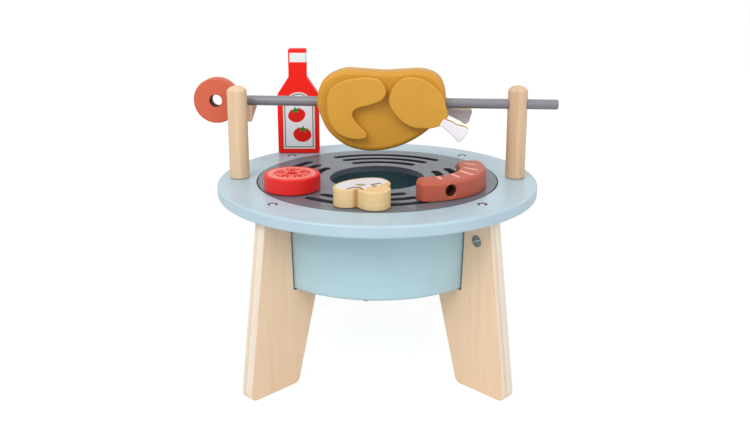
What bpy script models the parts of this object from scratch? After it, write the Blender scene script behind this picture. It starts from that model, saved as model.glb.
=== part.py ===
"""Toy barbecue grill: a wooden ring table on four plywood legs, with a bowl, a grate and a turning spit.

Metres, +Z up. The floor is at z = 0, the front faces -Y, and the origin lies on the floor under the middle
of the whole width. Everything hangs under one empty on the axis of the round table.
"""
from math import asin, atan2, cos, hypot, pi, radians, sin, sqrt, tan

import bmesh
import bpy
from mathutils import Matrix, Vector

# Clearances shared by the whole model
fit_gap = 0.0003
screw_gap = 0.0003
cut_overrun = 0.002

# Round table top with a large opening
ring_width = 0.0313
ring_thickness = 0.0095
ring_edge_radius = 0.0018
ring_opening_edge_radius = 0.0006
ring_top_height = 0.148

# Loose grate, flush with the table top
plate_radius = 0.0977
plate_gap = 0.0010
plate_thickness = 0.005
plate_edge_radius = 0.0006
plate_hole_radius = 0.0390
plate_turn = radians(-6.8)
slot_group_count = 4
slot_rows = 3
slot_outer_margin = 0.0185
slot_width = 0.0071
slot_bridge_half_width = 0.0121

# Bowl: a turned wall with a screwed-in floor
bowl_ring_gap = 0.0015
bowl_draft = 0.0023
bowl_wall_thickness = 0.0104
bowl_hang = 0.0700
bowl_edge_radius = 0.0030
bowl_rim_edge_radius = 0.0008
floor_seat_width = 0.0060
floor_thickness = 0.006
floor_edge_radius = 0.0005
floor_screw_count = 4
floor_screw_turn = radians(-95.6)
floor_screw_shank_radius = 0.00125
floor_screw_length = 0.014
floor_screw_head_radius = 0.0028
floor_screw_head_height = 0.0014

# Four plywood legs standing on edge along the diagonals
leg_count = 4
leg_turn = radians(45.0)
leg_thickness = 0.0117
leg_top_inset = 0.0084
leg_splay = 0.0184
leg_foot_width = 0.0471
leg_ledge_width = 0.0248
leg_bowl_gap = 0.0010
leg_foot_corner_radius = 0.0055
leg_knee_corner_radius = 0.0015
leg_edge_radius = 0.0005

# Bolt and cross nut that hold each leg to the table top
bolt_circle_share = 0.34
bolt_shank_radius = 0.0020
bolt_head_radius = 0.0036
bolt_head_height = 0.0016
bolt_past_nut = 0.0050
nut_radius = 0.0042
nut_length = 0.0098
nut_depth_below_top = 0.0274
nut_slot_width = 0.0011
nut_slot_depth = 0.0010
recess_length = 0.0040
recess_width = 0.0010
recess_depth = 0.0010

# Two dowel posts, each with a screw from below
post_radius = 0.0080
post_above_rod = 0.0148
post_dome_height = 0.0048
post_foot_chamfer = 0.0006
post_offset_share = 0.466
post_screw_shank_radius = 0.00175
post_screw_length = 0.030
post_screw_head_radius = 0.0034
post_screw_head_height = 0.0018

# Spit rod: through the right post, behind the left one
rod_radius = 0.0041
rod_height = 0.0612
rod_overhang = 0.0327
rod_end_radius = 0.0016
rod_hole_gap = 0.0006

# Handle disc on the rod's left end
handle_radius = 0.01885
handle_thickness = 0.011
handle_hole_radius = 0.0050
handle_edge_radius = 0.0012
handle_hook_gap = 0.0006
handle_post_gap = 0.0008
handle_socket_depth = 0.0090

# Open hook on the back of the left post, which carries the rod
hook_right_of_post_axis = 0.0004
hook_width = 0.0106
hook_post_overlap = 0.0035
hook_rear_lip = 0.0124
hook_front_drop = 0.0154
hook_rear_drop = 0.0088
hook_front_below_rod_axis = 0.0032
hook_lip_below_rod_axis = 0.0004
hook_corner_radius = 0.0015
hook_notch_gap = 0.0005

# Chicken board, threaded on the rod
chicken_length = 0.1040
chicken_height = 0.0665
chicken_thickness = 0.0240
chicken_edge_radius = 0.0080
chicken_right_of_axis = 0.0036
chicken_below_rod = 0.0057
chicken_rod_gap = 0.0003
board_thickness = 0.0080
board_edge_radius = 0.0010
wing_length = 0.0480
wing_height = 0.0497
wing_left_of_chicken = 0.0191
wing_below_rod = 0.00245
drumstick_length = 0.0634
drumstick_height = 0.0510
drumstick_right_of_chicken = 0.0389
drumstick_below_rod = 0.0023
rear_drumstick_turn = radians(17.0)

# Tomato slice
tomato_radius = 0.0221
tomato_height = 0.0125
tomato_edge_radius = 0.0012
tomato_place_shares = Vector((-0.684, -0.363))

# Mushroom
mushroom_half_width = 0.0228
mushroom_dome_height = 0.0137
mushroom_left_lobe_drop = 0.0104
mushroom_right_lobe_drop = 0.0161
mushroom_stem_half_width = 0.0116
mushroom_stem_length = 0.0174
mushroom_height = 0.0140
mushroom_edge_radius = 0.0008
mushroom_place_shares = Vector((-0.131, -0.733))
mushroom_turn = radians(38.0)

# Bent sausage
sausage_bend_radius = 0.0444
sausage_half_width = 0.0105
sausage_height = 0.0145
sausage_end_depth = 0.0060
sausage_top_edge_radius = 0.0028
sausage_low_edge_radius = 0.0008
sausage_place_shares = Vector((0.327, -0.190))
sausage_start = radians(-86.0)
sausage_end = radians(17.0)
sausage_hole_radius = 0.0045
sausage_hole_chamfer = 0.0010
sausage_hole_depth = 0.0100
sausage_hole_turn = radians(-65.0)

# Sauce bottle standing on the table top
bottle_half_width = 0.0188
bottle_neck_half_width = 0.0081
bottle_body_height = 0.0545
bottle_shoulder_height = 0.0160
bottle_neck_height = 0.0252
bottle_thickness = 0.0100
bottle_corner_radius = 0.0014
bottle_shoulder_radius = 0.0080
bottle_edge_radius = 0.0010
bottle_place_shares = Vector((-0.553, 0.693))

# Outlines as shares of half the length and half the height of each board
chicken_outline_shares = [
    (-1.00, 0.25), (-0.90, 0.74), (-0.62, 0.98), (-0.30, 0.98), (0.04, 0.95), (0.34, 0.98),
    (0.66, 0.99), (0.90, 0.82), (1.00, 0.40), (0.96, -0.02), (0.71, -0.49), (0.34, -0.84),
    (-0.09, -1.00), (-0.50, -0.91), (-0.80, -0.57), (-0.95, -0.14),
]
wing_outline_shares = [
    (-0.98, 0.10), (-0.88, 0.58), (-0.50, 0.86), (0.00, 0.98), (0.45, 1.00), (0.82, 0.90),
    (1.00, 0.55), (0.83, 0.28), (0.45, 0.13), (0.02, 0.01), (-0.13, -0.21), (0.04, -0.50),
    (0.33, -0.79), (0.30, -0.96), (-0.08, -1.00), (-0.55, -0.85), (-0.88, -0.46),
]
drumstick_outline_shares = [
    (-1.00, 0.28), (-0.91, 0.67), (-0.68, 0.95), (-0.40, 1.00), (-0.10, 0.91), (0.15, 0.70),
    (0.35, 0.37), (0.45, 0.00), (0.49, -0.20), (0.43, -0.30), (0.56, -0.37), (0.72, -0.48),
    (0.92, -0.54), (1.00, -0.65), (0.93, -0.80), (0.86, -0.94), (0.74, -1.00), (0.65, -0.88),
    (0.47, -0.67), (0.30, -0.52), (0.10, -0.58), (-0.15, -0.60), (-0.45, -0.55), (-0.74, -0.31),
    (-0.93, 0.00),
]

# Facet counts
large_round_steps = 60
bowl_round_steps = 48
rod_round_steps = 20
screw_round_steps = 12
fillet_steps = 2
curve_steps = 3
board_curve_steps = 2
slot_arc_steps = 6
slot_end_steps = 4
chicken_edge_steps = 3

# Places that follow from the sizes above
ring_opening_radius = plate_radius + plate_gap
ring_radius = ring_opening_radius + ring_width
ring_underside_height = ring_top_height - ring_thickness
slot_pitch = (plate_radius - slot_outer_margin - plate_hole_radius) / slot_rows
bowl_top_radius = ring_opening_radius - bowl_ring_gap
bowl_bottom_radius = bowl_top_radius - bowl_draft
bowl_inner_radius = bowl_bottom_radius - bowl_wall_thickness
bowl_bottom_height = ring_top_height - bowl_hang
bowl_rim_height = ring_top_height - plate_thickness - fit_gap
floor_radius = bowl_inner_radius + floor_seat_width
floor_screw_circle = bowl_inner_radius + floor_seat_width / 2
leg_top_height = ring_underside_height - fit_gap
leg_ledge_height = bowl_bottom_height - fit_gap
leg_ledge_radius = bowl_bottom_radius + leg_bowl_gap
leg_knee_inner = leg_ledge_radius - leg_ledge_width
leg_top_outer = ring_radius - leg_top_inset
leg_foot_outer = leg_top_outer + leg_splay
leg_foot_inner = leg_foot_outer - leg_foot_width
bolt_circle_radius = ring_opening_radius + bolt_circle_share * ring_width
nut_height = ring_top_height - nut_depth_below_top
post_offset = ring_opening_radius + post_offset_share * ring_width
post_span = 2 * post_offset
post_base_height = ring_top_height + fit_gap
post_height = rod_height + post_above_rod
rod_axis_height = ring_top_height + rod_height

# The handle turns within a ball, which clears the hook beside it and the left post in front of it
handle_swing_radius = hypot(handle_radius - handle_edge_radius, handle_thickness / 2 - handle_edge_radius)
handle_swing_radius = handle_swing_radius + handle_edge_radius
handle_past_post = handle_swing_radius + handle_hook_gap - hook_right_of_post_axis
handle_reach = handle_swing_radius + post_radius + handle_post_gap
handle_behind_post = sqrt(handle_reach ** 2 - handle_past_post ** 2)
rod_behind_left_post = handle_behind_post * post_span / (post_span + handle_past_post)
spit_turn = -atan2(rod_behind_left_post, post_span)
spit_stretch = 1 / cos(spit_turn)
handle_centre = -(post_span + handle_past_post) * spit_stretch
rod_left_end = handle_centre + handle_radius - handle_socket_depth
rod_right_end = rod_overhang * spit_stretch
hook_seat_radius = rod_radius + hook_notch_gap
food_height = ring_top_height + fit_gap

# The origin lies under the middle of the whole width
handle_corner_reach = (handle_thickness / 2 - handle_edge_radius) * abs(sin(spit_turn)) + handle_edge_radius
left_reach = (post_offset + handle_past_post + handle_corner_reach
              + (handle_radius - handle_edge_radius) * cos(spit_turn))
rod_corner_reach = (rod_radius - rod_end_radius) * abs(sin(spit_turn)) + rod_end_radius
right_reach = post_offset + rod_corner_reach + (rod_right_end - rod_end_radius) * cos(spit_turn)
axis_shift = (left_reach - right_reach) / 2


def make_material(name, colour, roughness, metallic=0.0):
    """A Principled material with one colour."""
    made = bpy.data.materials.new(name)
    made.use_nodes = True
    shader = made.node_tree.nodes["Principled BSDF"]
    shader.inputs["Base Color"].default_value = (*colour, 1.0)
    shader.inputs["Roughness"].default_value = roughness
    shader.inputs["Metallic"].default_value = metallic
    made.diffuse_color = (*colour, 1.0)
    return made


def mesh_from(work, name):
    """Close a bmesh into a mesh with its faces pointing out."""
    bmesh.ops.recalc_face_normals(work, faces=work.faces)
    mesh = bpy.data.meshes.new(name)
    work.to_mesh(mesh)
    work.free()
    return mesh


def arc(centre, radius, start, end, steps):
    """Points along an arc, both ends included."""
    turns = [start + (end - start) * step / steps for step in range(steps + 1)]
    return [(centre[0] + radius * cos(turn), centre[1] + radius * sin(turn)) for turn in turns]


def rounded_corners(points, steps=fillet_steps):
    """A closed outline from (x, y, corner radius) points."""
    outline = []
    for index, (x, y, radius) in enumerate(points):
        corner = Vector((x, y))
        if radius == 0:
            outline.append((x, y))
            continue
        before = Vector(points[index - 1][:2]) - corner
        after = Vector(points[(index + 1) % len(points)][:2]) - corner
        half = before.angle(after) / 2
        away = radius / tan(half)
        centre = corner + (before.normalized() + after.normalized()).normalized() * (radius / sin(half))
        first = corner + before.normalized() * away - centre
        sweep = pi - 2 * half
        side = 1 if before.cross(after) < 0 else -1
        start = atan2(first.y, first.x)
        outline += arc(centre, radius, start, start + side * sweep, steps)
    return outline


def smooth_loop(points, steps):
    """A closed Catmull-Rom curve through the points."""
    outline = []
    count = len(points)
    for index in range(count):
        a, b, c, d = (Vector(points[(index + shift) % count]) for shift in (-1, 0, 1, 2))
        for step in range(steps):
            t = step / steps
            spot = b + (c - a) / 2 * t + (a - b * 5 / 2 + c * 2 - d / 2) * t ** 2
            spot += (b * 3 / 2 - a / 2 - c * 3 / 2 + d / 2) * t ** 3
            outline.append((spot.x, spot.y))
    return outline


def turned(name, profile, steps):
    """A solid turned about Z from a closed (radius, height) profile, or one that ends on the axis."""
    work = bmesh.new()
    rings = []
    for radius, height in profile:
        if radius == 0:
            rings.append([work.verts.new((0, 0, height))])
            continue
        turns = [2 * pi * step / steps for step in range(steps)]
        rings.append([work.verts.new((radius * cos(turn), radius * sin(turn), height)) for turn in turns])
    closed = profile[0][0] != 0 and profile[-1][0] != 0
    pairs = list(zip(rings, rings[1:])) + ([(rings[-1], rings[0])] if closed else [])
    for low, high in pairs:
        for step in range(steps):
            after = (step + 1) % steps
            corners = [low[step % len(low)], low[after % len(low)],
                       high[after % len(high)], high[step % len(high)]]
            unique = [corner for place, corner in enumerate(corners) if corner not in corners[:place]]
            work.faces.new(unique)
    return mesh_from(work, name)


def sheet_solid(name, outline, low, high, edge_radius=0.0, edge_steps=fillet_steps, low_edge_radius=None):
    """An outline in XY made solid from low to high, with both rims rounded."""
    work = bmesh.new()
    face = work.faces.new([work.verts.new((x, y, low)) for x, y in outline])
    made = bmesh.ops.extrude_face_region(work, geom=[face])
    raised = [item for item in made["geom"] if isinstance(item, bmesh.types.BMVert)]
    bmesh.ops.translate(work, verts=raised, vec=(0, 0, high - low))
    rims = [edge for edge in work.edges if edge.verts[0].co.z == edge.verts[1].co.z]
    middle = (low + high) / 2
    low_radius = edge_radius if low_edge_radius is None else low_edge_radius
    low_rim = [edge for edge in rims if edge.verts[0].co.z < middle]
    high_rim = [edge for edge in rims if edge.verts[0].co.z > middle]
    for rim, radius in ((low_rim, low_radius), (high_rim, edge_radius)):
        if radius > 0:
            bmesh.ops.bevel(work, geom=rim, offset=radius, segments=edge_steps, profile=0.5,
                            affect="EDGES", clamp_overlap=True)
    return mesh_from(work, name)


def upright(mesh):
    """Turn an outline drawn in XY to stand in XZ, facing -Y, centred on y = 0."""
    mesh.transform(Matrix.Rotation(radians(90), 4, "X"))
    return mesh


def place(name, mesh, surface, parent, location=(0, 0, 0), turn=0.0):
    """Add a mesh as a named object under a parent."""
    made = bpy.data.objects.new(name, mesh)
    bpy.context.scene.collection.objects.link(made)
    made.parent = parent
    made.location = location
    made.rotation_euler = (0, 0, turn)
    if surface:
        mesh.materials.clear()
        mesh.materials.append(surface)
        mesh.shade_smooth()
        mesh.set_sharp_from_angle(angle=radians(35))
    return made


def place_cutter(name, mesh, parent, location=(0, 0, 0), rotation=(0, 0, 0)):
    """Add a cutter, which is not part of the model."""
    made = place(name, mesh, None, parent, location)
    made.rotation_euler = rotation
    made.hide_render = True
    made.display_type = "WIRE"
    return made


def cut(target, tool):
    """Take the cutter out of the target."""
    step = target.modifiers.new(tool.name, "BOOLEAN")
    step.operation = "DIFFERENCE"
    step.object = tool
    step.solver = "EXACT"


def empty(name, parent, location=(0, 0, 0), turn=0.0):
    """An empty that carries a group of pieces."""
    made = bpy.data.objects.new(name, None)
    bpy.context.scene.collection.objects.link(made)
    made.parent = parent
    made.location = location
    made.rotation_euler = (0, 0, turn)
    return made


def rod_profile(radius, low, high, end_radius):
    """A cylinder profile from low to high with both rims rounded."""
    bottom = arc((radius - end_radius, low + end_radius), end_radius, -pi / 2, 0, fillet_steps)
    top = arc((radius - end_radius, high - end_radius), end_radius, 0, pi / 2, fillet_steps)
    return [(0, low)] + bottom + top + [(0, high)]


def plain_rod(name, radius, low, high, steps=rod_round_steps):
    """A plain cylinder about Z."""
    return turned(name, [(0, low), (radius, low), (radius, high), (0, high)], steps)


def along_x(mesh):
    """Lay a shape that was turned about Z along +X."""
    mesh.transform(Matrix.Rotation(radians(90), 4, "Y"))
    return mesh


def bowl_radius_at(height):
    """The bowl's outer radius, which narrows evenly downwards."""
    share = (height - bowl_bottom_height) / (bowl_rim_height - bowl_bottom_height)
    return bowl_bottom_radius + (bowl_top_radius - bowl_bottom_radius) * share


def countersunk_profile(head_radius, head_height, shank_radius, length, gap=0.0):
    """A countersunk screw from its head at 0 down to -length, or with a gap its hole."""
    lift = cut_overrun if gap else 0.0
    top = [(0, lift), (head_radius + gap, lift)] + ([(head_radius + gap, 0)] if gap else [])
    return top + [(shank_radius + gap, -head_height), (shank_radius + gap, -length - gap), (0, -length - gap)]


def recess_cutter(name, depth):
    """A cross for a screwdriver, from the head's face down."""
    long, wide = recess_length / 2, recess_width / 2
    outline = [(wide, wide), (wide, long), (-wide, long), (-wide, wide), (-long, wide), (-long, -wide),
               (-wide, -wide), (-wide, -long), (wide, -long), (wide, -wide), (long, -wide), (long, wide)]
    return sheet_solid(name, outline, -depth, cut_overrun)


def make_table_top(root, looks):
    """The round table top with its opening and its screw holes."""
    edge, inner = ring_edge_radius, ring_opening_edge_radius
    low, high = ring_underside_height, ring_top_height
    profile = arc((ring_radius - edge, low + edge), edge, -pi / 2, 0, fillet_steps)
    profile += arc((ring_radius - edge, high - edge), edge, 0, pi / 2, fillet_steps)
    profile += arc((ring_opening_radius + inner, high - inner), inner, pi / 2, pi, 1)
    profile += arc((ring_opening_radius + inner, low + inner), inner, pi, 3 * pi / 2, 1)
    ring = place("tabletop_ring", turned("tabletop_ring", profile, large_round_steps), looks["blue"], root)
    hole = countersunk_profile(bolt_head_radius, bolt_head_height, bolt_shank_radius,
                               ring_thickness + cut_overrun, screw_gap)
    hole_mesh = turned("bolt_hole_cutter", hole, screw_round_steps)
    for index in range(leg_count):
        turn = leg_turn + index * 2 * pi / leg_count
        spot = (bolt_circle_radius * cos(turn), bolt_circle_radius * sin(turn), ring_top_height)
        cut(ring, place_cutter(f"ring_bolt_hole_{index + 1}", hole_mesh, root, spot))
    hole = countersunk_profile(post_screw_head_radius, post_screw_head_height, post_screw_shank_radius,
                               ring_thickness + cut_overrun, screw_gap)
    hole_mesh = turned("post_hole_cutter", hole, screw_round_steps)
    for side, name in ((-1, "left"), (1, "right")):
        spot = (side * post_offset, 0, ring_underside_height)
        cut(ring, place_cutter(f"ring_post_hole_{name}", hole_mesh, root, spot, (pi, 0, 0)))


def slot_outline(radius):
    """One curved slot with round ends, about the plate's axis."""
    half = slot_width / 2
    sweep = pi / slot_group_count - asin(slot_bridge_half_width / radius) - half / radius
    outline = arc((0, 0), radius + half, -sweep, sweep, slot_arc_steps)
    end = (radius * cos(sweep), radius * sin(sweep))
    outline += arc(end, half, sweep, sweep + pi, slot_end_steps)[1:-1]
    outline += arc((0, 0), radius - half, sweep, -sweep, slot_arc_steps)
    end = (radius * cos(sweep), -radius * sin(sweep))
    return outline + arc(end, half, pi - sweep, 2 * pi - sweep, slot_end_steps)[1:-1]


def make_plate(root, looks):
    """The loose grate with its middle hole and curved slots."""
    low, high = ring_top_height - plate_thickness, ring_top_height
    edge = plate_edge_radius
    profile = arc((plate_radius - edge, low + edge), edge, -pi / 2, 0, 1)
    profile += arc((plate_radius - edge, high - edge), edge, 0, pi / 2, fillet_steps)
    profile += arc((plate_hole_radius + edge, high - edge), edge, pi / 2, pi, fillet_steps)
    profile += arc((plate_hole_radius + edge, low + edge), edge, pi, 3 * pi / 2, 1)
    plate = place("grill_plate", turned("grill_plate", profile, bowl_round_steps), looks["grey"], root,
                  turn=plate_turn)
    for group in range(slot_group_count):
        for row in range(slot_rows):
            outline = slot_outline(plate_hole_radius + (row + 1) * slot_pitch)
            name = f"slot_cutter_{group + 1}_{row + 1}"
            tool = sheet_solid(name, outline, low - cut_overrun, high + cut_overrun)
            turn = plate_turn + group * 2 * pi / slot_group_count
            cut(plate, place_cutter(name, tool, root, rotation=(0, 0, turn)))


def make_bowl(root, looks):
    """The bowl's wall, its floor and the screws that hold the floor."""
    low, high = bowl_bottom_height, bowl_rim_height
    edge, rim = bowl_edge_radius, bowl_rim_edge_radius
    shoulder = low + floor_thickness + fit_gap
    rebate = floor_radius + fit_gap
    profile = arc((bowl_bottom_radius - edge, low + edge), edge, -pi / 2, 0, fillet_steps)
    profile += arc((bowl_top_radius - rim, high - rim), rim, 0, pi / 2, fillet_steps)
    profile += arc((bowl_inner_radius + rim, high - rim), rim, pi / 2, pi, 1)
    profile += [(bowl_inner_radius, shoulder), (rebate, shoulder), (rebate, low)]
    wall = place("bowl_wall", turned("bowl_wall", profile, bowl_round_steps), looks["blue"], root)
    disc = rod_profile(floor_radius, low, low + floor_thickness, floor_edge_radius)
    bottom = place("bowl_floor", turned("bowl_floor", disc, bowl_round_steps), looks["dark_blue"], root)
    shank = floor_screw_shank_radius
    head = floor_screw_head_height
    side = [(0, fit_gap), (shank, fit_gap), (shank, -floor_screw_length), (0, -floor_screw_length)]
    dome = arc((floor_screw_head_radius - head / 2, fit_gap + head / 2), head / 2, 0, pi / 2, fillet_steps)
    screw = [(0, fit_gap + head)] + dome[::-1] + [(floor_screw_head_radius, fit_gap)] + side[1:]
    screw_mesh = turned("floor_screw", screw, screw_round_steps)
    hole_mesh = plain_rod("floor_screw_hole", shank + screw_gap, -floor_screw_length - screw_gap, cut_overrun,
                          screw_round_steps)
    for index in range(floor_screw_count):
        turn = floor_screw_turn + index * 2 * pi / floor_screw_count
        spot = (floor_screw_circle * cos(turn), floor_screw_circle * sin(turn), low)
        tool = place_cutter(f"floor_screw_hole_{index + 1}", hole_mesh, root, spot, (pi, 0, 0))
        cut(wall, tool)
        cut(bottom, tool)
        made = place(f"floor_screw_{index + 1}", screw_mesh, looks["steel"], root, spot)
        made.rotation_euler = (pi, 0, 0)


def leg_outline():
    """A leg's outline as (distance from the table's axis, height)."""
    rim_radius = bowl_radius_at(leg_top_height) + leg_bowl_gap
    return rounded_corners([
        (leg_foot_inner, 0, leg_foot_corner_radius),
        (leg_foot_outer, 0, leg_foot_corner_radius),
        (leg_top_outer, leg_top_height, 0),
        (rim_radius, leg_top_height, 0),
        (leg_ledge_radius, leg_ledge_height, 0),
        (leg_knee_inner, leg_ledge_height, leg_knee_corner_radius),
    ])


def make_legs(root, looks):
    """Four legs with the bolt and the cross nut that hold each one."""
    outline = leg_outline()
    half = leg_thickness / 2
    leg_mesh = upright(sheet_solid("leg", outline, -half, half, leg_edge_radius, 1))
    bolt_length = nut_depth_below_top + bolt_past_nut
    hole_mesh = plain_rod("leg_bolt_hole", bolt_shank_radius + screw_gap, -bolt_length - screw_gap,
                          cut_overrun, screw_round_steps)
    nut_hole_mesh = plain_rod("leg_nut_hole", nut_radius + screw_gap, half - nut_length - screw_gap,
                              half + cut_overrun)
    nut_mesh = plain_rod("cross_nut", nut_radius, half - nut_length, half)
    bolt_mesh = turned("leg_bolt", countersunk_profile(bolt_head_radius, bolt_head_height, bolt_shank_radius,
                                                       bolt_length), screw_round_steps)
    thread_mesh = plain_rod("nut_thread", bolt_shank_radius + screw_gap, -nut_length, nut_length,
                            screw_round_steps)
    across = nut_slot_width / 2
    slot = [(-nut_length, -across), (nut_length, -across), (nut_length, across), (-nut_length, across)]
    slot_mesh = sheet_solid("nut_slot", slot, half - nut_slot_depth, half + cut_overrun)
    cross_mesh = recess_cutter("bolt_recess", recess_depth)
    names = ("rear_right", "rear_left", "front_left", "front_right")
    for index, name in enumerate(names):
        turn = leg_turn + index * 2 * pi / leg_count
        station = empty(f"{name}_station", root, turn=turn)
        bolt_spot = (bolt_circle_radius, 0, ring_top_height)
        nut_spot = (bolt_circle_radius, 0, nut_height)
        blind = (pi / 2, 0, 0)
        leg = place(f"leg_{name}", leg_mesh, looks["plywood"], station)
        cut(leg, place_cutter(f"{name}_bolt_hole", hole_mesh, station, bolt_spot))
        cut(leg, place_cutter(f"{name}_nut_hole", nut_hole_mesh, station, nut_spot, blind))
        nut = place(f"cross_nut_{name}", nut_mesh, looks["steel"], station, nut_spot)
        nut.rotation_euler = blind
        cut(nut, place_cutter(f"{name}_nut_thread", thread_mesh, station, nut_spot))
        cut(nut, place_cutter(f"{name}_nut_slot", slot_mesh, station, nut_spot, blind))
        bolt = place(f"leg_bolt_{name}", bolt_mesh, looks["steel"], station, bolt_spot)
        cut(bolt, place_cutter(f"{name}_bolt_recess", cross_mesh, station, bolt_spot))


def make_posts(root, spit, looks):
    """Two dowel posts, the screws under them and the open hook on the left one."""
    dome = [(post_radius * cos(turn), post_height - post_dome_height + post_dome_height * sin(turn))
            for turn in (pi / 2 * step / fillet_steps / 2 for step in range(2 * fillet_steps))]
    chamfer = post_foot_chamfer
    profile = [(0, 0), (post_radius - chamfer, 0), (post_radius, chamfer)] + dome + [(0, post_height)]
    post_mesh = turned("post", profile, rod_round_steps)
    pilot = post_screw_length - ring_thickness + screw_gap
    pilot_mesh = plain_rod("post_pilot_hole", post_screw_shank_radius + screw_gap, -cut_overrun, pilot,
                           screw_round_steps)
    screw_mesh = turned("post_screw", countersunk_profile(post_screw_head_radius, post_screw_head_height,
                                                          post_screw_shank_radius, post_screw_length),
                        screw_round_steps)
    cross_mesh = recess_cutter("post_screw_recess", recess_depth)
    posts = []
    for side, name in ((-1, "left"), (1, "right")):
        spot = (side * post_offset, 0, post_base_height)
        low = (side * post_offset, 0, ring_underside_height)
        post = place(f"post_{name}", post_mesh.copy(), looks["beech"], root, spot)
        cut(post, place_cutter(f"post_pilot_{name}", pilot_mesh, root, spot))
        screw = place(f"post_screw_{name}", screw_mesh, looks["steel"], root, low)
        screw.rotation_euler = (pi, 0, 0)
        cut(screw, place_cutter(f"post_screw_recess_{name}", cross_mesh, root, low, (pi, 0, 0)))
        posts.append(post)
    reach = 2 * post_radius
    rod_hole = along_x(plain_rod("post_rod_hole", rod_radius + rod_hole_gap, -reach, reach))
    cut(posts[1], place_cutter("post_rod_hole", rod_hole, spit))
    make_hook(root, spit, looks)


def make_hook(root, spit, looks):
    """The open hook glued to the back of the left post."""
    corner = hook_corner_radius
    front = post_radius - hook_post_overlap
    rear = rod_behind_left_post + hook_seat_radius + hook_rear_lip
    lip_height = rod_height - hook_lip_below_rod_axis
    front_height = rod_height - hook_front_below_rod_axis
    outline = rounded_corners([
        (front, rod_height - hook_front_drop, 0),
        (rear, rod_height - hook_rear_drop, corner),
        (rear, lip_height, corner),
        (rod_behind_left_post, lip_height, 0),
        (rod_behind_left_post, front_height, 0),
        (front, front_height, 0),
    ])
    # The outline lies in YZ, so it is drawn with y as its first axis and then turned to face +X
    mesh = sheet_solid("rod_hook", outline, hook_right_of_post_axis, hook_right_of_post_axis + hook_width)
    mesh.transform(Matrix(((0, 0, 1, 0), (1, 0, 0, 0), (0, 1, 0, 0), (0, 0, 0, 1))))
    hook = place("rod_hook", mesh, looks["beech"], root, (-post_offset, 0, ring_top_height))
    bevel = hook.modifiers.new("edges", "BEVEL")
    bevel.width = corner / 2
    bevel.segments = 1
    bevel.limit_method = "ANGLE"
    bevel.angle_limit = radians(40)
    groove = plain_rod("post_groove", post_radius + fit_gap, 0, post_height)
    cut(hook, place_cutter("post_groove", groove, root, (-post_offset, 0, ring_top_height)))
    seat = hook_seat_radius
    channel = arc((0, 0), seat, -pi, 0, 4 * fillet_steps) + [(seat, post_height), (-seat, post_height)]
    mesh = sheet_solid("rod_channel", channel, -2 * hook_width, 2 * hook_width)
    mesh.transform(Matrix(((0, 0, 1, 0), (1, 0, 0, 0), (0, 1, 0, 0), (0, 0, 0, 1))))
    spot = (-post_span * spit_stretch, 0, 0)
    cut(hook, place_cutter("rod_channel", mesh, spit, spot))


def make_spit(spit, looks):
    """The rod and the handle disc on its left end."""
    rod = along_x(turned("spit_rod", rod_profile(rod_radius, rod_left_end, rod_right_end, rod_end_radius),
                         rod_round_steps))
    place("spit_rod", rod, looks["grey"], spit)
    half, edge = handle_thickness / 2, handle_edge_radius
    profile = arc((handle_radius - edge, -half + edge), edge, -pi / 2, 0, fillet_steps)
    profile += arc((handle_radius - edge, half - edge), edge, 0, pi / 2, fillet_steps)
    profile += arc((handle_hole_radius + edge, half - edge), edge, pi / 2, pi, fillet_steps)
    profile += arc((handle_hole_radius + edge, -half + edge), edge, pi, 3 * pi / 2, fillet_steps)
    disc = upright(turned("spit_handle", profile, 2 * rod_round_steps))
    handle = place("spit_handle", disc, looks["terracotta"], spit, (handle_centre, 0, 0))
    socket = along_x(plain_rod("handle_socket", rod_radius + fit_gap, rod_left_end - fit_gap,
                               handle_centre + handle_radius + cut_overrun))
    cut(handle, place_cutter("handle_socket", socket, spit))


def board_outline(shares, length, height, steps):
    """An outline of shares brought to a board's size."""
    return smooth_loop([(x * length / 2, y * height / 2) for x, y in shares], steps)


def make_chicken(spit, looks):
    """The body board on the rod, with a wing and a drumstick on each face."""
    centre_x = (chicken_right_of_axis - post_offset) * spit_stretch
    chicken = empty("chicken_frame", spit, (centre_x, 0, 0))
    half = chicken_thickness / 2
    outline = board_outline(chicken_outline_shares, chicken_length, chicken_height, curve_steps)
    body_mesh = upright(sheet_solid("chicken_body", outline, -half, half, chicken_edge_radius,
                                     chicken_edge_steps))
    body = place("chicken_body", body_mesh, looks["mustard"], chicken, (0, 0, -chicken_below_rod))
    bore = along_x(plain_rod("chicken_bore", rod_radius + chicken_rod_gap, -chicken_length, chicken_length))
    cut(body, place_cutter("chicken_bore", bore, chicken))
    wing = board_outline(wing_outline_shares, wing_length, wing_height, board_curve_steps)
    drumstick = board_outline(drumstick_outline_shares, drumstick_length, drumstick_height, board_curve_steps)
    low, high = half + fit_gap, half + fit_gap + board_thickness
    for side, name in ((1, "front"), (-1, "rear")):
        near, far = side * low, side * high
        wing_mesh = upright(sheet_solid(f"wing_{name}", wing, min(near, far), max(near, far),
                                        board_edge_radius, 2))
        place(f"chicken_wing_{name}", wing_mesh, looks["mustard"], chicken,
              (-wing_left_of_chicken, 0, -wing_below_rod))
        leg_mesh = sheet_solid(f"drumstick_{name}", drumstick, min(near, far), max(near, far),
                               board_edge_radius, 2)
        if side < 0:
            leg_mesh.transform(Matrix.Rotation(rear_drumstick_turn, 4, "Z"))
        place(f"chicken_drumstick_{name}", upright(leg_mesh), looks["mustard"], chicken,
              (drumstick_right_of_chicken, 0, -drumstick_below_rod))


def make_tomato(root, looks):
    """The round tomato slice."""
    profile = rod_profile(tomato_radius, 0, tomato_height, tomato_edge_radius)
    mesh = turned("tomato_slice", profile, 2 * rod_round_steps)
    place("tomato_slice", mesh, looks["red"], root, (*tomato_place_shares * plate_radius, food_height))


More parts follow.
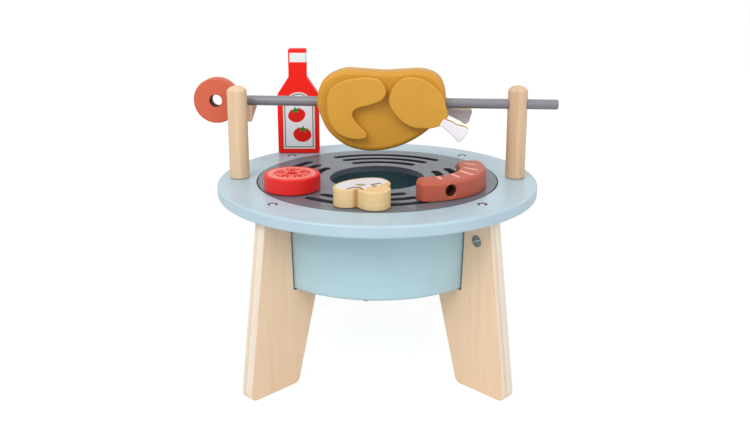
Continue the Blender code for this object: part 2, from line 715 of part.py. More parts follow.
def mushroom_outline():
    """A mushroom in its own frame: the cap is widest on y = 0, the stem points towards -Y."""
    wide, stem = mushroom_half_width, mushroom_stem_half_width
    lobe = wide - stem
    steps = 4 * curve_steps
    dome = [(wide * cos(pi * step / steps), mushroom_dome_height * sin(pi * step / steps))
            for step in range(steps + 1)]
    quarter = [pi / 2 * step / (2 * curve_steps) for step in range(1, 2 * curve_steps + 1)]
    left_lobe = [(-stem - lobe * cos(turn), -mushroom_left_lobe_drop * sin(turn)) for turn in quarter]
    end = arc((0, -mushroom_stem_length), stem, pi, 2 * pi, steps)
    right_lobe = [(stem + lobe * cos(turn), -mushroom_right_lobe_drop * sin(turn))
                  for turn in reversed(quarter)]
    return dome + left_lobe + end + right_lobe


def make_mushroom(root, looks):
    """The mushroom slice."""
    mesh = sheet_solid("mushroom", mushroom_outline(), 0, mushroom_height, mushroom_edge_radius, 2)
    place("mushroom", mesh, looks["cream"], root, (*mushroom_place_shares * plate_radius, food_height),
          mushroom_turn)


def sausage_outline():
    """A bent sausage about its bend centre, with flattened round ends."""
    radius, half, depth = sausage_bend_radius, sausage_half_width, sausage_end_depth
    steps = 3 * curve_steps
    outline = arc((0, 0), radius + half, sausage_start, sausage_end, steps)
    for turn, start in ((sausage_end, 0), (sausage_start, pi)):
        along = Vector((-sin(turn), cos(turn))) * (1 if start == 0 else -1)
        across = Vector((cos(turn), sin(turn)))
        middle = across * radius
        for step in range(1, steps):
            sweep = start + pi * step / steps
            spot = middle + across * (half * cos(sweep)) + along * (depth * abs(sin(sweep)))
            outline.append((spot.x, spot.y))
        if start == 0:
            outline += arc((0, 0), radius - half, sausage_end, sausage_start, steps)
    return outline


def make_sausage(root, looks):
    """The bent sausage with a blind hole in its outer side."""
    mesh = sheet_solid("sausage", sausage_outline(), 0, sausage_height, sausage_top_edge_radius, fillet_steps,
                       sausage_low_edge_radius)
    spot = (*sausage_place_shares * plate_radius, food_height)
    sausage = place("sausage", mesh, looks["sausage"], root, spot)
    outer = sausage_bend_radius + sausage_half_width
    flare = sausage_hole_radius + sausage_hole_chamfer
    end = outer - sausage_hole_depth
    profile = [(0, end), (sausage_hole_radius, end), (sausage_hole_radius, outer - sausage_hole_chamfer),
               (flare, outer), (flare, outer + cut_overrun), (0, outer + cut_overrun)]
    hole = along_x(turned("sausage_hole", profile, rod_round_steps))
    middle = (spot[0], spot[1], food_height + sausage_height / 2)
    cut(sausage, place_cutter("sausage_hole", hole, root, middle, (0, 0, sausage_hole_turn)))


def bottle_outline():
    """The bottle's front outline, with its foot on y = 0."""
    wide, neck, corner = bottle_half_width, bottle_neck_half_width, bottle_corner_radius
    shoulder = bottle_shoulder_radius
    neck_foot = bottle_body_height + bottle_shoulder_height
    right = [
        (wide, 0, corner), (wide, bottle_body_height, shoulder), (neck, neck_foot, shoulder / 2),
        (neck, neck_foot + bottle_neck_height, corner),
    ]
    left = [(-x, y, radius) for x, y, radius in reversed(right)]
    return rounded_corners(right + left)


def make_bottle(root, looks):
    """The flat sauce bottle."""
    half = bottle_thickness / 2
    mesh = upright(sheet_solid("sauce_bottle", bottle_outline(), -half, half, bottle_edge_radius, 2))
    place("sauce_bottle", mesh, looks["red"], root, (*bottle_place_shares * ring_radius, food_height))


def main():
    """Build the whole grill."""
    for old in list(bpy.data.objects):
        bpy.data.objects.remove(old, do_unlink=True)
    looks = {
        "blue": make_material("blue_paint", (0.46, 0.64, 0.74), 0.42),
        "dark_blue": make_material("bowl_floor_paint", (0.30, 0.47, 0.55), 0.5),
        "grey": make_material("grey_paint", (0.30, 0.28, 0.31), 0.35),
        "plywood": make_material("birch_plywood", (0.74, 0.55, 0.35), 0.6),
        "beech": make_material("beech", (0.71, 0.50, 0.32), 0.55),
        "steel": make_material("zinc_steel", (0.55, 0.55, 0.57), 0.35, 1.0),
        "terracotta": make_material("terracotta_paint", (0.64, 0.14, 0.08), 0.45),
        "mustard": make_material("mustard_paint", (0.62, 0.33, 0.04), 0.45),
        "red": make_material("red_paint", (0.75, 0.03, 0.02), 0.4),
        "cream": make_material("cream_wood", (0.80, 0.60, 0.31), 0.55),
        "sausage": make_material("sausage_paint", (0.47, 0.10, 0.06), 0.45),
    }
    root = empty("grill_axis", None, (axis_shift, 0, 0))
    spit = empty("spit_axis", root, (post_offset, 0, rod_axis_height), spit_turn)
    make_table_top(root, looks)
    make_plate(root, looks)
    make_bowl(root, looks)
    make_legs(root, looks)
    make_posts(root, spit, looks)
    make_spit(spit, looks)
    make_chicken(spit, looks)
    make_tomato(root, looks)
    make_mushroom(root, looks)
    make_sausage(root, looks)
    make_bottle(root, looks)


main()
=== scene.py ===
"""Toy barbecue grill: detailed pieces, materials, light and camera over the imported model.

Metres, +Z up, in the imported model's own frame.
"""

from math import asin, atan2, cos, hypot, pi, radians, sin, sqrt, tan

import bmesh
import bpy
from mathutils import Matrix, Vector


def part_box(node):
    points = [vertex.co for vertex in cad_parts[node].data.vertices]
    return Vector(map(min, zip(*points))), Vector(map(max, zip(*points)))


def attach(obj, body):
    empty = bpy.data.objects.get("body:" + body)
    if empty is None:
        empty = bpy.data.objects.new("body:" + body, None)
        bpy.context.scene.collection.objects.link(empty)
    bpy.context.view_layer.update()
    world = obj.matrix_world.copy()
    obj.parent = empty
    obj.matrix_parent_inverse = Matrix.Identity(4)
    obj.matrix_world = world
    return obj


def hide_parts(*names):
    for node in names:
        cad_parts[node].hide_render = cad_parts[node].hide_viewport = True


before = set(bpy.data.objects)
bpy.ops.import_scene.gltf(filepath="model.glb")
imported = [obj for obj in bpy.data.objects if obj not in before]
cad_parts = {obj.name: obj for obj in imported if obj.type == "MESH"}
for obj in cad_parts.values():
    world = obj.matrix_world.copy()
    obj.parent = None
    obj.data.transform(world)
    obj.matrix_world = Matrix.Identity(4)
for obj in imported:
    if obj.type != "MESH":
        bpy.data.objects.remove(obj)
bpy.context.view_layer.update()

# Clearances
fit_gap = 0.0003
cut_overrun = 0.002

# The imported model's round pieces have fewer facets, so they reach a little less
facet_loss = 0.00012

# Round table top
ring_width = 0.0313
ring_thickness = 0.0095
ring_edge_radius = 0.0018
ring_opening_edge_radius = 0.0006
ring_top_height = 0.148

# Loose grate
plate_radius = 0.0977
plate_gap = 0.0010
plate_thickness = 0.005
plate_slot_edge_radius = 0.0003
plate_hole_radius = 0.0390
plate_turn = radians(-6.8)
slot_group_count = 4
slot_rows = 3
slot_outer_margin = 0.0185
slot_width = 0.0071
slot_bridge_half_width = 0.0121

# Bowl
bowl_ring_gap = 0.0015
bowl_draft = 0.0023
bowl_wall_thickness = 0.0104
bowl_hang = 0.0700
bowl_edge_radius = 0.0030
bowl_rim_edge_radius = 0.0008
floor_seat_width = 0.0060
floor_thickness = 0.006
floor_edge_radius = 0.0005
floor_screw_count = 4
floor_screw_turn = radians(-95.6)
floor_screw_head_radius = 0.0028
floor_screw_head_height = 0.0014
floor_screw_shank_radius = 0.00125
floor_screw_length = 0.014

# Plywood legs
leg_count = 4
leg_turn = radians(45.0)
leg_thickness = 0.0117
leg_top_inset = 0.0084
leg_splay = 0.0184
leg_foot_width = 0.0471
leg_ledge_width = 0.0248
leg_bowl_gap = 0.0010
leg_foot_corner_radius = 0.0055
leg_knee_corner_radius = 0.0015
leg_edge_radius = 0.0005
leg_names = ("rear_right", "rear_left", "front_left", "front_right")

# Bolts and cross nuts, of which the head and its recess show smaller than the solid's
bolt_circle_share = 0.34
bolt_shank_radius = 0.0020
bolt_head_radius = 0.0036
bolt_head_height = 0.0016
bolt_past_nut = 0.0050
screw_gap = 0.0003
nut_radius = 0.0042
nut_length = 0.0098
nut_edge_radius = 0.0003
nut_depth_below_top = 0.0274
nut_slot_width = 0.0011
nut_slot_depth = 0.0010
recess_length = 0.0040
recess_width = 0.0010
recess_depth = 0.0010
head_edge_radius = 0.0004
head_shown_radius = 0.0021
head_recess_share = 0.7
floor_recess_share = 2 / 3
bolt_turns = (radians(20), radians(65), radians(35), radians(8))
nut_slot_turn = radians(24)

# Dowel posts
post_radius = 0.0080
post_above_rod = 0.0148
post_dome_height = 0.0048
post_foot_chamfer = 0.0006
post_offset_share = 0.466
post_screw_head_radius = 0.0034
post_screw_head_height = 0.0018
post_screw_shank_radius = 0.00175
post_screw_length = 0.030

# Spit rod and its handle
rod_radius = 0.0041
rod_height = 0.0612
rod_overhang = 0.0327
rod_end_radius = 0.0016
rod_hole_gap = 0.0006
handle_radius = 0.01885
handle_thickness = 0.011
handle_hole_radius = 0.0050
handle_edge_radius = 0.0012
handle_hook_gap = 0.0006
handle_post_gap = 0.0008
handle_socket_depth = 0.0090

# Hook on the left post
hook_right_of_post_axis = 0.0004
hook_width = 0.0106
hook_post_overlap = 0.0035
hook_rear_lip = 0.0124
hook_front_drop = 0.0154
hook_rear_drop = 0.0088
hook_front_below_rod_axis = 0.0032
hook_lip_below_rod_axis = 0.0004
hook_corner_radius = 0.0015
hook_notch_gap = 0.0005

# Chicken
chicken_length = 0.1040
chicken_height = 0.0665
chicken_thickness = 0.0240
chicken_edge_radius = 0.0042
chicken_right_of_axis = 0.0036
chicken_below_rod = 0.0057
chicken_rod_gap = 0.0003
board_thickness = 0.0080
board_edge_radius = 0.0010
wing_length = 0.0480
wing_height = 0.0497
wing_left_of_chicken = 0.0191
wing_below_rod = 0.00245
drumstick_length = 0.0634
drumstick_height = 0.0510
drumstick_right_of_chicken = 0.0389
drumstick_below_rod = 0.0023
rear_drumstick_turn = radians(17.0)
bone_edge_right = 0.0103
bone_edge_below = 0.0096
bone_edge_turn = radians(-33.0)
bone_corner_turn = radians(48.0)
bone_corner_apart = 0.0037
bone_corner_length = 0.0014

# Tomato slice
tomato_radius = 0.0221
tomato_height = 0.0125
tomato_edge_radius = 0.0012
tomato_place_shares = Vector((-0.684, -0.363))
tomato_chambers = 5
tomato_flesh_outer = 0.0187
tomato_flesh_inner = 0.0160
tomato_chamber_outer = 0.0156
tomato_chamber_inner = 0.0052
tomato_chamber_gap = 0.0010
tomato_line_width = 0.0011
tomato_chamber_corner = 0.0016
tomato_core_radius = 0.0044
tomato_seed_length = 0.0026
tomato_seed_width = 0.0013
tomato_seed_spread = radians(13)
tomato_turn = radians(20)

# Mushroom
mushroom_half_width = 0.0228
mushroom_dome_height = 0.0137
mushroom_left_lobe_drop = 0.0104
mushroom_right_lobe_drop = 0.0161
mushroom_stem_half_width = 0.0116
mushroom_stem_length = 0.0174
mushroom_height = 0.0140
mushroom_edge_radius = 0.0008
mushroom_place_shares = Vector((-0.131, -0.733))
mushroom_turn = radians(38.0)
mushroom_print_margin = 0.0020
mushroom_line_width = 0.0023
# How far the painted shade in the crease by the stem reaches
mushroom_crease_shade_reach = 0.0036
mushroom_white_turn = radians(80)

# Sausage
sausage_bend_radius = 0.0444
sausage_half_width = 0.0105
sausage_height = 0.0145
sausage_end_depth = 0.0060
sausage_top_edge_radius = 0.0028
sausage_low_edge_radius = 0.0008
sausage_place_shares = Vector((0.327, -0.190))
sausage_start = radians(-86.0)
sausage_end = radians(17.0)
sausage_hole_radius = 0.0045
sausage_hole_chamfer = 0.0010
sausage_hole_depth = 0.0100
sausage_hole_turn = radians(-65.0)
stripe_half_width = 0.0014

# Turn, slant, length and shift inwards of each grill mark
stripe_rows = [
    (radians(-68.8), radians(-8), 0.0094, 0.0032),
    (radians(-49.5), radians(-13), 0.0120, 0.0022),
    (radians(-32.7), radians(-22), 0.0172, 0.0009),
    (radians(-14.6), radians(-26), 0.0137, 0.0014),
    (radians(5.8), radians(-34), 0.0113, 0.0013),
]

# Sauce bottle
bottle_half_width = 0.0188
bottle_neck_half_width = 0.0081
bottle_body_height = 0.0545
bottle_shoulder_height = 0.0160
bottle_neck_height = 0.0252
bottle_thickness = 0.0100
bottle_corner_radius = 0.0014
bottle_shoulder_radius = 0.0080
bottle_edge_radius = 0.0010
bottle_place_shares = Vector((-0.553, 0.693))
bottle_band_low = 0.0839
bottle_band_high = 0.0922
bottle_band_margin = 0.0014
label_right_of_middle = 0.0007
label_half_width = 0.01435
label_foot = 0.0043
label_side_height = 0.0485
label_arch_half_width = 0.0105
label_top = 0.0567
label_line_inset = 0.0013
label_line_width = 0.00085

# Right, up, size and tilt of each tomato on the label, and its drawing
label_tomatoes = [(-0.0020, 0.0356, 0.0076, radians(14)), (0.0028, 0.0176, 0.0079, radians(-6))]
fruit_height_share = 0.88
fruit_bulge_share = 0.05
fruit_dent_share = 0.10
leaf_count = 5
leaf_long_share = 0.74
leaf_short_share = 0.26
leaf_flat_share = 0.62

# Prints are thin coats of paint that stand a little proud of their board
print_thickness = 0.00005
print_sink = 0.00002
print_layer = 0.00003
stroke_end_share = 0.35

# Outlines as shares of half the length and half the height of each board
chicken_outline_shares = [
    (-1.00, 0.25), (-0.90, 0.74), (-0.62, 0.98), (-0.30, 0.98), (0.04, 0.95), (0.34, 0.98),
    (0.66, 0.99), (0.90, 0.82), (1.00, 0.40), (0.96, -0.02), (0.71, -0.49), (0.34, -0.84),
    (-0.09, -1.00), (-0.50, -0.91), (-0.80, -0.57), (-0.95, -0.14),
]
wing_outline_shares = [
    (-0.98, 0.10), (-0.88, 0.58), (-0.50, 0.86), (0.00, 0.98), (0.45, 1.00), (0.82, 0.90),
    (1.00, 0.55), (0.83, 0.28), (0.45, 0.13), (0.02, 0.01), (-0.13, -0.21), (0.04, -0.50),
    (0.33, -0.79), (0.30, -0.96), (-0.08, -1.00), (-0.55, -0.85), (-0.88, -0.46),
]
drumstick_outline_shares = [
    (-1.00, 0.28), (-0.91, 0.67), (-0.68, 0.95), (-0.40, 1.00), (-0.10, 0.91), (0.15, 0.70),
    (0.35, 0.37), (0.45, 0.00), (0.49, -0.20), (0.43, -0.30), (0.56, -0.37), (0.72, -0.48),
    (0.92, -0.54), (1.00, -0.65), (0.93, -0.80), (0.86, -0.94), (0.74, -1.00), (0.65, -0.88),
    (0.47, -0.67), (0.30, -0.52), (0.10, -0.58), (-0.15, -0.60), (-0.45, -0.55), (-0.74, -0.31),
    (-0.93, 0.00),
]

# The lower border of the mushroom's white print, in shares of the mushroom's half width
mushroom_white_border_shares = [
    (-0.43, -0.41), (-0.38, -0.60), (-0.30, -0.64), (-0.19, -0.60), (0.00, -0.48), (0.10, -0.50),
    (0.18, -0.61), (0.30, -0.61), (0.45, -0.53), (0.61, -0.47), (0.76, -0.43),
]

# Name, paint, share of the line width, and points in shares of the half width, of each gill
mushroom_line_shares = [
    ("mushroom_gill_left", "print_gill", 1.0,
     [(-0.77, -0.30), (-0.62, -0.26), (-0.49, -0.25), (-0.38, -0.30), (-0.34, -0.40),
      (-0.35, -0.52), (-0.37, -0.64)]),
    ("mushroom_gill_middle", "print_moss", 1.3,
     [(-0.24, -0.06), (-0.12, -0.08), (-0.02, -0.16), (0.02, -0.26)]),
    ("mushroom_gill_middle_low", "print_moss", 0.9, [(-0.23, -0.18), (-0.18, -0.25), (-0.08, -0.29)]),
    ("mushroom_gill_right", "print_gill", 1.2, [(0.14, -0.37), (0.27, -0.36), (0.41, -0.38), (0.54, -0.41)]),
    ("mushroom_gill_right_low", "print_gill", 1.0, [(0.14, -0.45), (0.15, -0.55), (0.22, -0.60)]),
]

# Facet counts
large_steps = 240
round_steps = 72
small_steps = 40
fillet_steps = 6
board_steps = 8
rim_steps = 4
small_rim_steps = 3
sheet_rim_steps = 2
chicken_rim_steps = 10
sausage_rim_steps = 8
wedge_corner_steps = 5
slot_end_steps = 16
seed_steps = 16
mushroom_steps = 36
sausage_steps = 24
stripe_steps = 28
stripe_steps_across = 6
label_steps = 24
fruit_steps = 48

# An inset reaches at most one over this limit times its width into a sharp corner
inset_limit = 0.4

# Edges that turn by more than this show sharp
sharp_angle = radians(35)

# Corners nearer than this share of a rim's radius become one
weld_share = 0.02

# Scales of the surfaces' noises, the range that they mostly keep to, and the share of the finer one
cloud_scale = (38, 38, 38)
sheen_scale = (160, 160, 160)
peel_scale = (1500, 1500, 1500)
wood_figure_scale = (230, 230, 9)
wood_fibre_scale = (1500, 1500, 45)
wood_dash_scale = (1900, 1900, 230)
ply_wave_scale = (40, 40, 40)
ply_fibre_scale = (260, 1700, 60)
ply_pore_scale = (1500, 1500, 1500)
ply_wave_share = 0.02
board_grain = (60, 60, 260)
bowl_grain = (60, 60, 300)
saw_line_scale = (22, 22, 1150)
saw_cloud_scale = (60, 60, 60)
steel_cloud_scale = (400, 400, 400)
steel_scratch_scale = (2600, 2600, 300)
noise_low = 0.3
noise_high = 0.7
fine_share = 0.35

# Depths of the bumps on the surfaces
paint_grain_depth = 0.0004
wood_grain_depth = 0.00012
ply_grain_depth = 0.0001
fine_depth = 0.00008
pore_depth = 0.00006
scratch_depth = 0.00004

# Colour, roughness, mottle and specular of each print
print_looks = [
    ("print_white", (240, 238, 239), 0.42, 0.02, 0.25),
    ("print_cap", (226, 224, 229), 0.42, 0.02, 0.25),
    ("print_field", (244, 245, 252), 0.42, 0.02, 0.25),
    ("print_green", (48, 118, 80), 0.42, 0.035, 0.25),
    ("print_leaf", (40, 140, 56), 0.42, 0.035, 0.25),
    ("print_red", (236, 30, 20), 0.4, 0.035, 0.25),
    ("print_pink", (238, 150, 134), 0.42, 0.035, 0.25),
    ("print_chamber", (220, 52, 52), 0.5, 0.035, 0.1),
    ("print_core", (206, 22, 30), 0.5, 0.035, 0.1),
    ("print_gill", (130, 84, 66), 0.5, 0.035, 0.25),
    ("print_moss", (158, 138, 76), 0.5, 0.035, 0.25),
    ("print_stripe", (240, 172, 150), 0.42, 0.035, 0.25),
]

# Camera, floor and light
image_width = 750
camera_focal_pixels = 865.46
camera_shift_pixels = -60
camera_place = (0.0010, -0.6900, 0.3315)
camera_pitch = 0.24
camera_sensor_width = 36.0
camera_clip_start = 0.01
floor_size = 60.0
floor_drop = 0.0001
floor_shadow_share = 0.26
floor_glow = 0.85
floor_tone = (232, 232, 233)
sky_strength = 0.60
# Name, place, size and power of each lamp
lamps = [
    ("key", (-0.85, -1.3, 1.55), (1.4, 1.0), 20.0),
    ("fill", (1.1, -1.3, 1.1), (1.4, 1.0), 8.0),
    ("top", (0.0, 0.2, 1.6), (1.4, 1.0), 2.5),
]

# Places that follow from the sizes above
ring_opening_radius = plate_radius + plate_gap
ring_radius = ring_opening_radius + ring_width
ring_underside_height = ring_top_height - ring_thickness
slot_pitch = (plate_radius - slot_outer_margin - plate_hole_radius) / slot_rows
bowl_top_radius = ring_opening_radius - bowl_ring_gap
bowl_bottom_radius = bowl_top_radius - bowl_draft
bowl_inner_radius = bowl_bottom_radius - bowl_wall_thickness
bowl_bottom_height = ring_top_height - bowl_hang
bowl_rim_height = ring_top_height - plate_thickness - fit_gap
floor_radius = bowl_inner_radius + floor_seat_width
floor_screw_circle = bowl_inner_radius + floor_seat_width / 2
leg_top_height = ring_underside_height - fit_gap
leg_ledge_height = bowl_bottom_height - fit_gap
leg_ledge_radius = bowl_bottom_radius + leg_bowl_gap
leg_knee_inner = leg_ledge_radius - leg_ledge_width
leg_top_outer = ring_radius - leg_top_inset
leg_foot_outer = leg_top_outer + leg_splay
leg_foot_inner = leg_foot_outer - leg_foot_width
bolt_circle_radius = ring_opening_radius + bolt_circle_share * ring_width
nut_height = ring_top_height - nut_depth_below_top
post_offset = ring_opening_radius + post_offset_share * ring_width
post_span = 2 * post_offset
post_base_height = ring_top_height + fit_gap
post_height = rod_height + post_above_rod
rod_axis_height = ring_top_height + rod_height
handle_swing_radius = handle_edge_radius + hypot(handle_radius - handle_edge_radius,
                                                 handle_thickness / 2 - handle_edge_radius)
handle_past_post = handle_swing_radius + handle_hook_gap - hook_right_of_post_axis
handle_reach = handle_swing_radius + post_radius + handle_post_gap
handle_behind_post = sqrt(handle_reach ** 2 - handle_past_post ** 2)
rod_behind_left_post = handle_behind_post * post_span / (post_span + handle_past_post)
spit_turn = -atan2(rod_behind_left_post, post_span)
spit_stretch = 1 / cos(spit_turn)
handle_centre = -(post_span + handle_past_post) * spit_stretch
rod_left_end = handle_centre + handle_radius - handle_socket_depth
rod_right_end = rod_overhang * spit_stretch
hook_seat_radius = rod_radius + hook_notch_gap
food_height = ring_top_height + fit_gap


# Places and added objects


def moved(x=0, y=0, z=0):
    """A place shifted along the axes."""
    return Matrix.Translation((x, y, z))


def spun(turn, axis="Z"):
    """A place turned about one axis."""
    return Matrix.Rotation(turn, 4, axis)


def add_object(name, data):
    """A new object in the scene."""
    made = bpy.data.objects.new(name, data)
    bpy.context.scene.collection.objects.link(made)
    return made


def built_mesh(holder):
    """The mesh that an object's curve or modifiers give; the object itself goes."""
    bpy.context.view_layer.update()
    graph = bpy.context.evaluated_depsgraph_get()
    mesh = bpy.data.meshes.new_from_object(holder.evaluated_get(graph))
    bpy.data.objects.remove(holder)
    return mesh


# Outlines


def oval_arc(centre, wide, high, start, end, steps):
    """Points along an ellipse from its half width and half height, both ends included."""
    turns = [start + (end - start) * step / steps for step in range(steps + 1)]
    return [(centre[0] + wide * cos(turn), centre[1] + high * sin(turn)) for turn in turns]


def arc(centre, radius, start, end, steps=fillet_steps):
    """Points along an arc, both ends included."""
    return oval_arc(centre, radius, radius, start, end, steps)


def circle(radius, steps):
    """A closed round outline about the origin."""
    return arc((0, 0), radius, 0, 2 * pi, steps)[:-1]


def rounded_corners(points, steps=fillet_steps):
    """A closed outline from (x, y, corner radius) points."""
    outline = []
    for index, (x, y, radius) in enumerate(points):
        corner = Vector((x, y))
        if radius == 0:
            outline.append((x, y))
            continue
        before = Vector(points[index - 1][:2]) - corner
        after = Vector(points[(index + 1) % len(points)][:2]) - corner
        half = before.angle(after) / 2
        centre = corner + (before.normalized() + after.normalized()).normalized() * (radius / sin(half))
        first = corner + before.normalized() * (radius / tan(half)) - centre
        side = 1 if before.cross(after) < 0 else -1
        start = atan2(first.y, first.x)
        outline += arc(centre, radius, start, start + side * (pi - 2 * half), steps)
    return outline


def curve_spots(a, b, c, d):
    """Points on the Catmull-Rom curve from b to just before c."""
    spots = []
    for step in range(board_steps):
        t = step / board_steps
        spot = b + (c - a) / 2 * t + (a - b * 5 / 2 + c * 2 - d / 2) * t ** 2
        spot += (b * 3 / 2 - a / 2 - c * 3 / 2 + d / 2) * t ** 3
        spots.append((spot.x, spot.y))
    return spots


def board_outline(shares, length, height):
    """A closed curve through points that are shares of half a board's length and height."""
    points = [Vector((x * length / 2, y * height / 2)) for x, y in shares]
    outline = []
    for index in range(len(points)):
        outline += curve_spots(*(points[(index + shift) % len(points)] for shift in (-1, 0, 1, 2)))
    return outline


def smooth_line(points):
    """An open curve through the points."""
    spots = [Vector(point) for point in points]
    spots = [spots[0] * 2 - spots[1], *spots, spots[-1] * 2 - spots[-2]]
    line = []
    for index in range(len(points) - 1):
        line += curve_spots(*spots[index:index + 4])
    return line + [tuple(points[-1])]


def stroke(points, width):
    """An outline round a line, fullest in its middle and narrower at its ends."""
    line = [Vector(point) for point in smooth_line(points)]
    last = len(line) - 1
    left, right = [], []
    for index, spot in enumerate(line):
        way = (line[min(index + 1, last)] - line[max(index - 1, 0)]).normalized()
        side = Vector((-way.y, way.x))
        share = index / last
        half = width / 2 * (stroke_end_share + (1 - stroke_end_share) * sin(pi * share) ** 0.5)
        left.append(spot + side * half)
        right.append(spot - side * half)
    tip = width / 2 * stroke_end_share
    first_tip = line[0] + (line[0] - line[1]).normalized() * tip
    last_tip = line[-1] + (line[-1] - line[-2]).normalized() * tip
    return [tuple(point) for point in right + [last_tip] + left[::-1] + [first_tip]]


def turn_area(points):
    """Twice an outline's area, positive where it runs counterclockwise."""
    return sum(a.cross(b) for a, b in zip(points, points[1:] + points[:1]))


def outward(outline):
    """For each point of an outline, the way out and how far a unit of inset moves it."""
    points = [Vector(point) for point in outline]
    side = 1 if turn_area(points) > 0 else -1
    ways = []
    for index, point in enumerate(points):
        before = (point - points[index - 1]).normalized()
        after = (points[(index + 1) % len(points)] - point).normalized()
        first = Vector((before.y, -before.x)) * side
        second = Vector((after.y, -after.x)) * side
        middle = (first + second).normalized()
        ways.append(middle / max(middle.dot(first), inset_limit))
    return points, ways


def inset(outline, width):
    """The outline brought inwards by a width."""
    points, ways = outward(outline)
    return [tuple(point - way * width) for point, way in zip(points, ways)]


def cross_outline(length, width):
    """The outline of a cross recess."""
    long, wide = length / 2, width / 2
    return [(wide, wide), (wide, long), (-wide, long), (-wide, wide), (-long, wide), (-long, -wide),
            (-wide, -wide), (-wide, -long), (wide, -long), (wide, -wide), (long, -wide), (long, wide)]


def rod_profile(radius, low, high, edge):
    """A cylinder's (radius, height) profile with both rims rounded."""
    return [(0, low), *arc((radius - edge, low + edge), edge, -pi / 2, 0),
            *arc((radius - edge, high - edge), edge, 0, pi / 2), (0, high)]


def tube_profile(outer, inner, low, high, edge, inner_edge, inner_steps=fillet_steps):
    """A pierced disc's (radius, height) profile with its four rims rounded."""
    return (rod_profile(outer, low, high, edge)[1:-1]
            + arc((inner + inner_edge, high - inner_edge), inner_edge, pi / 2, pi, inner_steps)
            + arc((inner + inner_edge, low + inner_edge), inner_edge, pi, 3 * pi / 2, inner_steps))


# Meshes


def mesh_from(work, name):
    """Close a bmesh into a mesh with its faces pointing out."""
    bmesh.ops.recalc_face_normals(work, faces=work.faces)
    mesh = bpy.data.meshes.new(name)
    work.to_mesh(mesh)
    work.free()
    return mesh


def join_rows(work, low, high, closed=True):
    """Faces between two rows of corners, of which one may be a single point."""
    count = max(len(low), len(high))
    for index in range(count if closed else count - 1):
        after = (index + 1) % count
        corners = [low[index % len(low)], low[after % len(low)],
                   high[after % len(high)], high[index % len(high)]]
        work.faces.new([corner for place, corner in enumerate(corners) if corner not in corners[:place]])


def turned(name, profile, steps=round_steps):
    """A solid turned about Z from a closed (radius, height) profile, or one that ends on the axis."""
    work = bmesh.new()
    rings = []
    for radius, height in profile:
        spots = circle(radius, steps) if radius else [(0, 0)]
        rings.append([work.verts.new((x, y, height)) for x, y in spots])
    closed = profile[0][0] != 0 and profile[-1][0] != 0
    for low, high in zip(rings, rings[1:] + (rings[:1] if closed else [])):
        join_rows(work, low, high)
    return mesh_from(work, name)


def board(name, outline, low, high, edge=0.0, steps=fillet_steps, low_edge=None):
    """An outline in XY made solid from low to high, with both rims rounded."""
    points, ways = outward(outline)
    levels = [(0.0, low), (0.0, high)]
    if edge > 0:
        foot = edge if low_edge is None else low_edge
        levels = arc((foot, low + foot), foot, -pi / 2, -pi, steps)
        levels += arc((edge, high - edge), edge, pi, pi / 2, steps)
    work = bmesh.new()
    rings = []
    for inward, height in levels:
        spots = [point - way * inward for point, way in zip(points, ways)]
        rings.append([work.verts.new((spot.x, spot.y, height)) for spot in spots])
    for lower, upper in zip(rings, rings[1:]):
        join_rows(work, lower, upper)
    work.faces.new(rings[0])
    work.faces.new(rings[-1])
    return mesh_from(work, name)


def pierced_sheet(name, loops, low, high, edge):
    """A sheet with holes from closed outlines, the outer one first, with every rim rounded."""
    curve = bpy.data.curves.new(name, "CURVE")
    curve.dimensions = "2D"
    curve.fill_mode = "BOTH"
    curve.extrude = (high - low) / 2 - edge
    curve.bevel_depth = edge
    curve.bevel_resolution = sheet_rim_steps
    curve.offset = -edge
    for index, loop in enumerate(loops):
        points = [Vector(point) for point in loop]
        if (turn_area(points) > 0) == (index > 0):
            points.reverse()
        spline = curve.splines.new("POLY")
        spline.points.add(len(points) - 1)
        for knot, point in zip(spline.points, points):
            knot.co = (point.x, point.y, 0, 1)
        spline.use_cyclic_u = True
    work = bmesh.new()
    work.from_mesh(built_mesh(add_object(name, curve)))
    bmesh.ops.remove_doubles(work, verts=work.verts, dist=edge * weld_share)
    bmesh.ops.translate(work, verts=work.verts, vec=(0, 0, (low + high) / 2))
    return mesh_from(work, name)


def plain_rod(name, radius, low, high, steps=round_steps):
    """A plain cylinder about Z."""
    return turned(name, [(0, low), (radius, low), (radius, high), (0, high)], steps)


def upright(mesh):
    """Turn an outline drawn in XY to stand in XZ, facing -Y, centred on y = 0."""
    mesh.transform(spun(pi / 2, "X"))
    return mesh


def along_x(mesh):
    """Lay a shape that was turned about Z along +X."""
    mesh.transform(spun(pi / 2, "Y"))
    return mesh


def facing_x(mesh):
    """Turn an outline drawn in XY to lie in YZ, with its thickness along X."""
    mesh.transform(Matrix(((0, 0, 1, 0), (1, 0, 0, 0), (0, 1, 0, 0), (0, 0, 0, 1))))
    return mesh


def paint_faces(mesh, index, wanted):
    """Give a material number to the faces that the rule picks by centre and normal."""
    for face in mesh.polygons:
        if wanted(face.center, face.normal):
            face.material_index = index


def change_materials(mesh, materials):
    """Give a mesh other materials and keep its faces' numbers."""
    numbers = [face.material_index for face in mesh.polygons]
    mesh.materials.clear()
    for material in materials:
        mesh.materials.append(material)
    for face, number in zip(mesh.polygons, numbers):
        face.material_index = number


